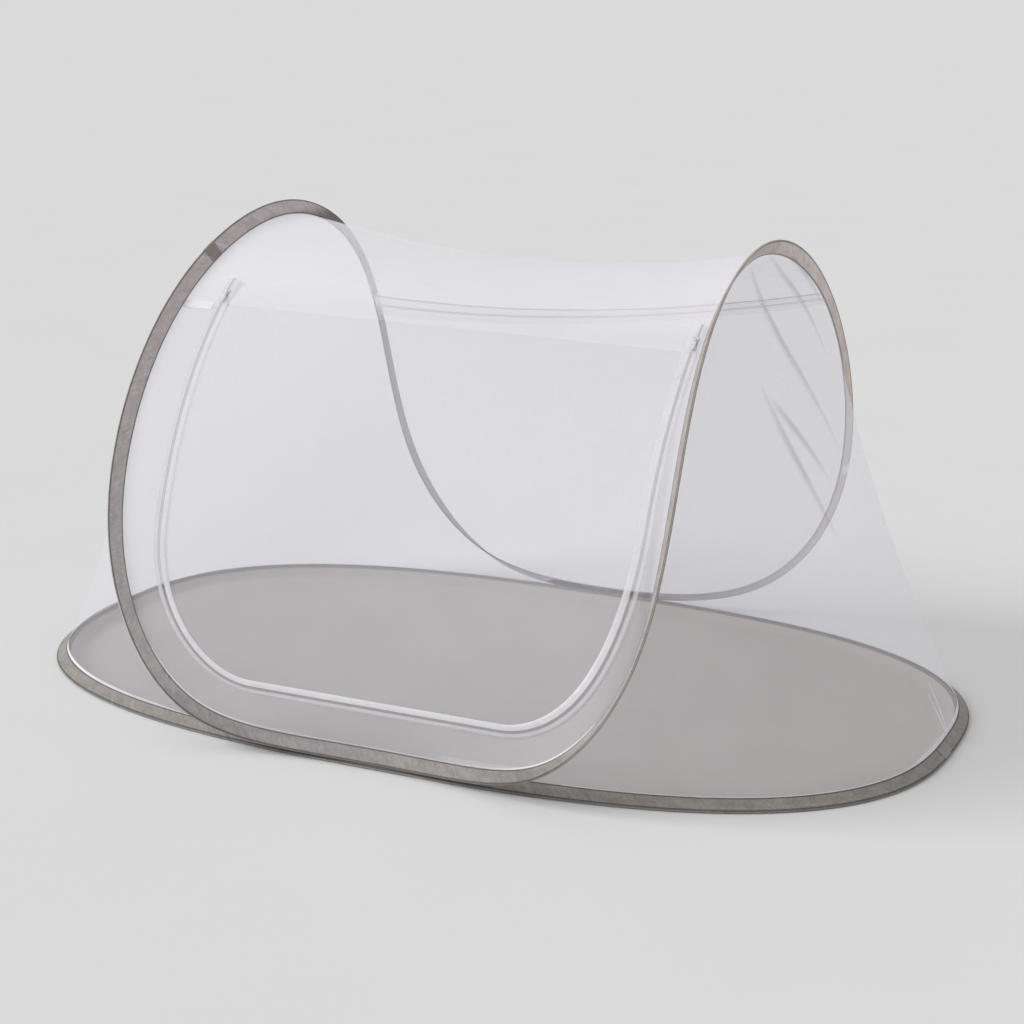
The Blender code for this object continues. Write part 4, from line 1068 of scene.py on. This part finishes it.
def build_zipper(door):
    for name, side, width, top, body, seed, look in (
        ("frame", 1.0, FRAME_TAPE_WIDTH, -PARK_LENGTH, "root", 51, "zipper_outer"),
        ("door", -1.0, DOOR_TAPE_WIDTH, FOLD_GAP / 2, "door", 52, "zipper"),
    ):
        near = side * TAPE_START
        tape = zipper_tape(door, near, near + side * width, top, seed)
        grid_piece(f"zipper_{name}_ribbon", tape, look, f"zipper_tape_{name}", "bar", body)
        teeth = zipper_teeth(door, side, top)
        grid_piece(f"zipper_{name}_teeth", teeth, "coil", f"zipper_coil_{name}", "bar", body)
        inset = near + side * (width - 0.003)
        stand_for(zipper_stitches(f"zipper_{name}_stitching", door, inset, top), body=body)
    end = TAPE_START + DOOR_TAPE_WIDTH
    coil_low, coil_high = ZIPPER_MIDDLE - COIL_HEIGHT / 2, ZIPPER_MIDDLE + COIL_HEIGHT / 2
    head_profile = (
        (COIL_GAP, coil_low), (COIL_GAP, coil_high), (COIL_END, coil_high), (COIL_END, ZIPPER_HIGH),
        (end - ZIPPER_RIM, ZIPPER_HIGH), (end, ZIPPER_MIDDLE), (end - ZIPPER_RIM, ZIPPER_LOW),
        (COIL_END, ZIPPER_LOW), (COIL_END, coil_low),
    )
    stop_rings = ((0.0, 0.55), (0.15, 0.9), (0.5, 1.0), (0.85, 0.9), (1.0, 0.55))
    turns = np.radians(np.arange(0.0, 360.0, 30.0))
    squared = [np.sign(way) * np.abs(way) ** 0.5 for way in (np.cos(turns), np.sin(turns))]
    for side, edge, sign in (("left", door.left, -1.0), ("right", door.right, 1.0)):
        downs = np.linspace(-PARK_LENGTH, -FOLD_GAP / 2, 12)
        grid = np.stack([door.at(edge - sign * wide, downs, out) for wide, out in head_profile], axis=1)
        grid_piece(f"zipper_{side}_end", grid, "zipper", f"zipper_head_{side}", "bar")
        start = -PARK_LENGTH - MODEL_GAP - STOP_LENGTH
        rings = []
        for share, swell in stop_rings:
            x, z = squared[0] * COIL_END * swell, squared[1] * COIL_HEIGHT / 2 * swell
            rings.append(door.at(edge + x, start + STOP_LENGTH * share, ZIPPER_MIDDLE + z))
        grid_piece(f"zipper_{side}_bar", rings, "coil", f"zipper_stop_{side}", "bar")


def build_cover(name, hoop, station, length, bulge, look, node, one_face=False):
    """A short strip of cloth wrapped over a hoop's tape, or laid on one of its faces."""
    middle = hoop.length_at(station)
    stations = hoop.station_at(np.linspace(middle - length / 2, middle + length / 2, 15))
    reach = hoop.reach - 0.003
    low = TAPE_HALF * 1.15 + COVER_LIFT
    high = low + 0.0002
    side = [(reach, low), (reach * 0.5, high), (bulge * 1.7, high)]
    other = [(a, -s) for a, s in side]
    if one_face:
        outer = other + round_part(bulge + COVER_LIFT, ROUND_TURNS[-1:])
    else:
        outer = side + round_part(bulge + COVER_LIFT, ROUND_TURNS) + other[::-1]
    outer = np.array(outer)
    inner = outer.copy()
    inner[:, 1] -= np.sign(outer[:, 1]) * COVER_LIFT * 0.8
    behind = outer[:, 0] < 0
    inner[behind] = outer[behind] - unit(outer[behind]) * COVER_LIFT * 0.8
    along, aside = np.concatenate([outer, inner[::-1]]).T
    ripples = Ripples(len(name), 0.03, 0.008, 6, 0.6)
    wobble = ripples.at(np.linspace(0.0, length, 15)[:, None], along) * 0.0003
    grid = hoop.at(stations[:, None], along, aside * (1 + wobble / TAPE_HALF))
    grid_piece(name, grid, look, node, "bar")


def build_floor(base):
    """The floor: flat on the ground inside, turned up at its rim into the base tape's mouth."""
    stations = base.station_at(np.linspace(0.0, base.total, 480, endpoint=False))
    tucked, out = base.seam(stations, 1.0)
    outward = unit(base.read(base.fin, stations) * np.array((1.0, 1.0, 0.0)))
    flat = base.read(base.wire, stations) - outward * (FLOOR_FLAT_INSET - FOLD)
    flat[:, 2] = FLOOR_THICK / 2
    rings = [tucked, out]
    for share in (0.25, 0.5, 0.75):
        ring = out + (flat - out) * share
        ring[:, 2] = out[:, 2] + (flat[:, 2] - out[:, 2]) * math.sin(share * math.pi / 2)
        rings.append(ring)
    rings += [flat * np.array((share, share, 1.0)) for share in np.linspace(1.0, 0.02, 60)]
    grid = np.array(rings)
    inside = np.clip((np.arange(len(grid)) - 5) / 6, 0.0, 1.0)[:, None]
    grid[..., 2] += 0.0016 * (1 + Ripples(61, 0.7, 0.06, 12).at(grid[..., 0], grid[..., 1])) * inside
    rows, columns = grid.shape[:2]
    points = grid.reshape(-1, 3).tolist() + [(0.0, 0.0, float(grid[-1, :, 2].mean()))]
    i, k = face_corners(rows, columns, False, True)
    faces = (i * columns + k % columns).tolist()
    last = (rows - 1) * columns
    faces += [(last + k, last + (k + 1) % columns, rows * columns) for k in range(columns)]
    mesh = smooth_mesh("floor_cloth_sheet", points, faces, LOOKS["floor"])
    mesh.flip_normals()
    lay_out(mesh, "cloth", [points[vertex][:2] for face in mesh.polygons for vertex in face.vertices])
    made = put("floor_cloth_sheet", mesh)
    thick = made.modifiers.new("thick", "SOLIDIFY")
    thick.thickness = 0.0006
    thick.offset = 0.0
    stand_for(made, "floor_sheet")


# Room, light and camera


def build_stage():
    made = new_finish("studio_floor")
    paint = made.mix(made.noise(made.place(), 2.0), (0.7, 0.7, 0.7), (0.715, 0.715, 0.715))
    paper = made.cover({"Base Color": paint, "Roughness": 0.9, "Specular IOR Level": 0.0})
    corners = [(x * ROOM_HALF, y * ROOM_HALF, 0.0) for x, y in ((-1, -1), (1, -1), (1, 1), (-1, 1))]
    mesh = bpy.data.meshes.new("studio_floor")
    mesh.from_pydata(corners, [], [(0, 1, 2, 3)])
    mesh.materials.append(paper)
    put("studio_floor", mesh)
    world = Finish(bpy.data.worlds.new("studio"), "OutputWorld")
    camera, glossy, passing = (
        world.add("LightPath", output=f"Is {kind} Ray") for kind in ("Camera", "Glossy", "Transmission")
    )
    seen = world.math("MAXIMUM", world.math("MAXIMUM", camera, glossy), passing)
    room = world.add("Background", {"Color": (0.71, 0.71, 0.71)})
    fill = world.add("Background", {"Color": (1.0, 1.0, 1.0), "Strength": FILL})
    bpy.context.scene.world = world.finish(world.add("MixShader", {0: seen, 1: fill, 2: room}))
    sun = bpy.data.lights.new("softbox", "SUN")
    sun.energy = SUN_ENERGY
    sun.angle = SUN_ANGLE
    lamp = put("softbox", sun)
    lamp.rotation_mode = "QUATERNION"
    lamp.rotation_quaternion = Vector(SUN_WAY).to_track_quat("Z", "Y")


def build_camera():
    flat = math.cos(CAMERA_ELEVATION)
    sine, cosine = math.sin(CAMERA_AZIMUTH), math.cos(CAMERA_AZIMUTH)
    back = Vector((sine * flat, -cosine * flat, math.sin(CAMERA_ELEVATION)))
    level = Vector((cosine, sine, 0.0))
    right = level * math.cos(CAMERA_ROLL) + back.cross(level) * math.sin(CAMERA_ROLL)
    turned = Matrix((right, back.cross(right), back)).transposed().to_4x4()
    data = bpy.data.cameras.new("camera")
    data.sensor_width = SENSOR_WIDTH
    data.lens = FOCAL_PIXELS * SENSOR_WIDTH / PICTURE_PIXELS
    camera = put("camera", data)
    camera.matrix_world = Matrix.Translation(Vector(CAMERA_TARGET) + back * CAMERA_DISTANCE) @ turned
    bpy.context.scene.camera = camera


TAUPE_PITCH = 0.0011
WHITE_PITCH = 0.0012
LOOKS = {
    # arch tape: painted light and shade by place, and painted shade lines along its borders
    "arch_tape": woven_tape(
        "arch_taupe", (0.64, 0.58, 0.56), (0.43, 0.39, 0.374), TAUPE_PITCH,
        shade_lines=border_shade_lines(ARCH_TAPE_WIDTH, ARCH_BULGE), paint_light=True,
    ),
    # base tape: painted shade lines along its borders
    "base_tape": woven_tape(
        "base_taupe", (0.345, 0.32, 0.296), (0.218, 0.202, 0.185), TAUPE_PITCH,
        shade_lines=border_shade_lines(BASE_TAPE_WIDTH, FOLD),
    ),
    "dark_tape": woven_tape("taupe_patch", (0.36, 0.31, 0.29), (0.25, 0.215, 0.2), TAUPE_PITCH),
    "base_patch": woven_tape("base_patch", (0.35, 0.33, 0.308), (0.25, 0.233, 0.215), TAUPE_PITCH),
    "white": woven_tape("white_tape", (0.84, 0.83, 0.87), (0.72, 0.71, 0.75), WHITE_PITCH),
    "wrap": woven_tape("wrap_tape", (0.93, 0.92, 0.95), (0.84, 0.83, 0.86), WHITE_PITCH),
    "zipper": woven_tape(
        "zipper_tape", (0.84, 0.83, 0.87), (0.76, 0.75, 0.79), WHITE_PITCH, opacity=0.9, thin_high=0.42
    ),
    "zipper_outer": woven_tape(
        "zipper_outer_tape", (0.8, 0.79, 0.83), (0.72, 0.71, 0.75), WHITE_PITCH, opacity=0.58, thin_high=0.28
    ),
    "grey_tape": woven_tape("grey_line_tape", (0.42, 0.42, 0.43), (0.34, 0.34, 0.35), WHITE_PITCH),
    "floor": floor_cloth(),
    "net": net_cloth("white_net", 0.46, 0.1, 0.91),
    "roof": net_cloth("roof_net", 0.5, 0.13, 0.93, crown=0.18, through_share=0.2),
    "front_net": net_cloth("doubled_net", 0.56, 0.14, 0.86),
    "band": net_cloth("band_net", 0.52, 0.22, 0.91),
    # dark grey net of the wrinkles: painted shade
    "crease": net_cloth("crease_shade_net", 0.5, 0.34, 0.42, feathered=True),
    "fold": net_cloth("folded_net", 0.85, 0.55, 0.91, feathered=True),
    "taupe_thread": thread_finish("taupe_thread", (0.4, 0.37, 0.35)),
    "white_thread": thread_finish("white_thread", (0.82, 0.82, 0.83)),
    "coil": coil_finish(),
    "steel": metal_finish("spring_steel", (0.55, 0.56, 0.58), 1.0, 0.35, (2000.0, 60.0, 2000.0)),
    "slider": metal_finish("slider_metal", (0.78, 0.78, 0.79), 0.7, 0.38, (1500.0, 200.0, 200.0)),
}


def build():
    for name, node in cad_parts.items():
        if name.startswith(("slider_", "pull_")):
            node.data.materials.clear()
            node.data.materials.append(LOOKS["slider"])
    mouth = arch_hoop(base_hoop(QUARTER), QUARTER).seam(DOOR_STATION, -1.0)[1]
    door = Door(mouth)
    base = base_hoop(QUARTER * FINE)
    arch = arch_hoop(base, QUARTER * FINE)
    build_hoop_pieces(base, "base", FOLD, 1, BASE_FERRULE_STATION)
    build_hoop_pieces(arch, "arch", ARCH_BULGE, 3, ARCH_FERRULE_STATION)
    build_floor(base)
    build_back_band(*build_roof_and_back(arch))
    right = build_end_net("right", JUNCTION, arch, base)
    build_hem("right", right)
    for name, fold in zip(FOLD_NAMES, NET_FOLDS):
        build_fold(name, right, *fold)
    build_hem("left", build_end_net("left", 2 * QUARTER + JUNCTION, arch, base))
    build_front(arch, door)
    build_door(door)
    build_zipper(door)
    for name, hoop, station, length, bulge, look, slot, node in (
        ("arch_splice_cloth", arch, 62.6, 0.036, ARCH_BULGE, "dark_tape", "tape_taupe", "arch_joint_cover"),
        ("left_wrap_cloth", arch, 55.0, 0.026, ARCH_BULGE, "wrap", "tape_white", "arch_wrap_left"),
        ("right_wrap_cloth", arch, 31.0, 0.026, ARCH_BULGE, "wrap", "tape_white", "arch_wrap_right"),
        ("base_splice_cloth", base, 19.5, 0.036, FOLD, "base_patch", "tape_taupe", "base_joint_cover"),
    ):
        build_cover(name, hoop, station, length, bulge, look, node, one_face=hoop is base)
    build_stage()
    build_camera()
    bpy.context.scene.view_settings.view_transform = "Standard"


build()
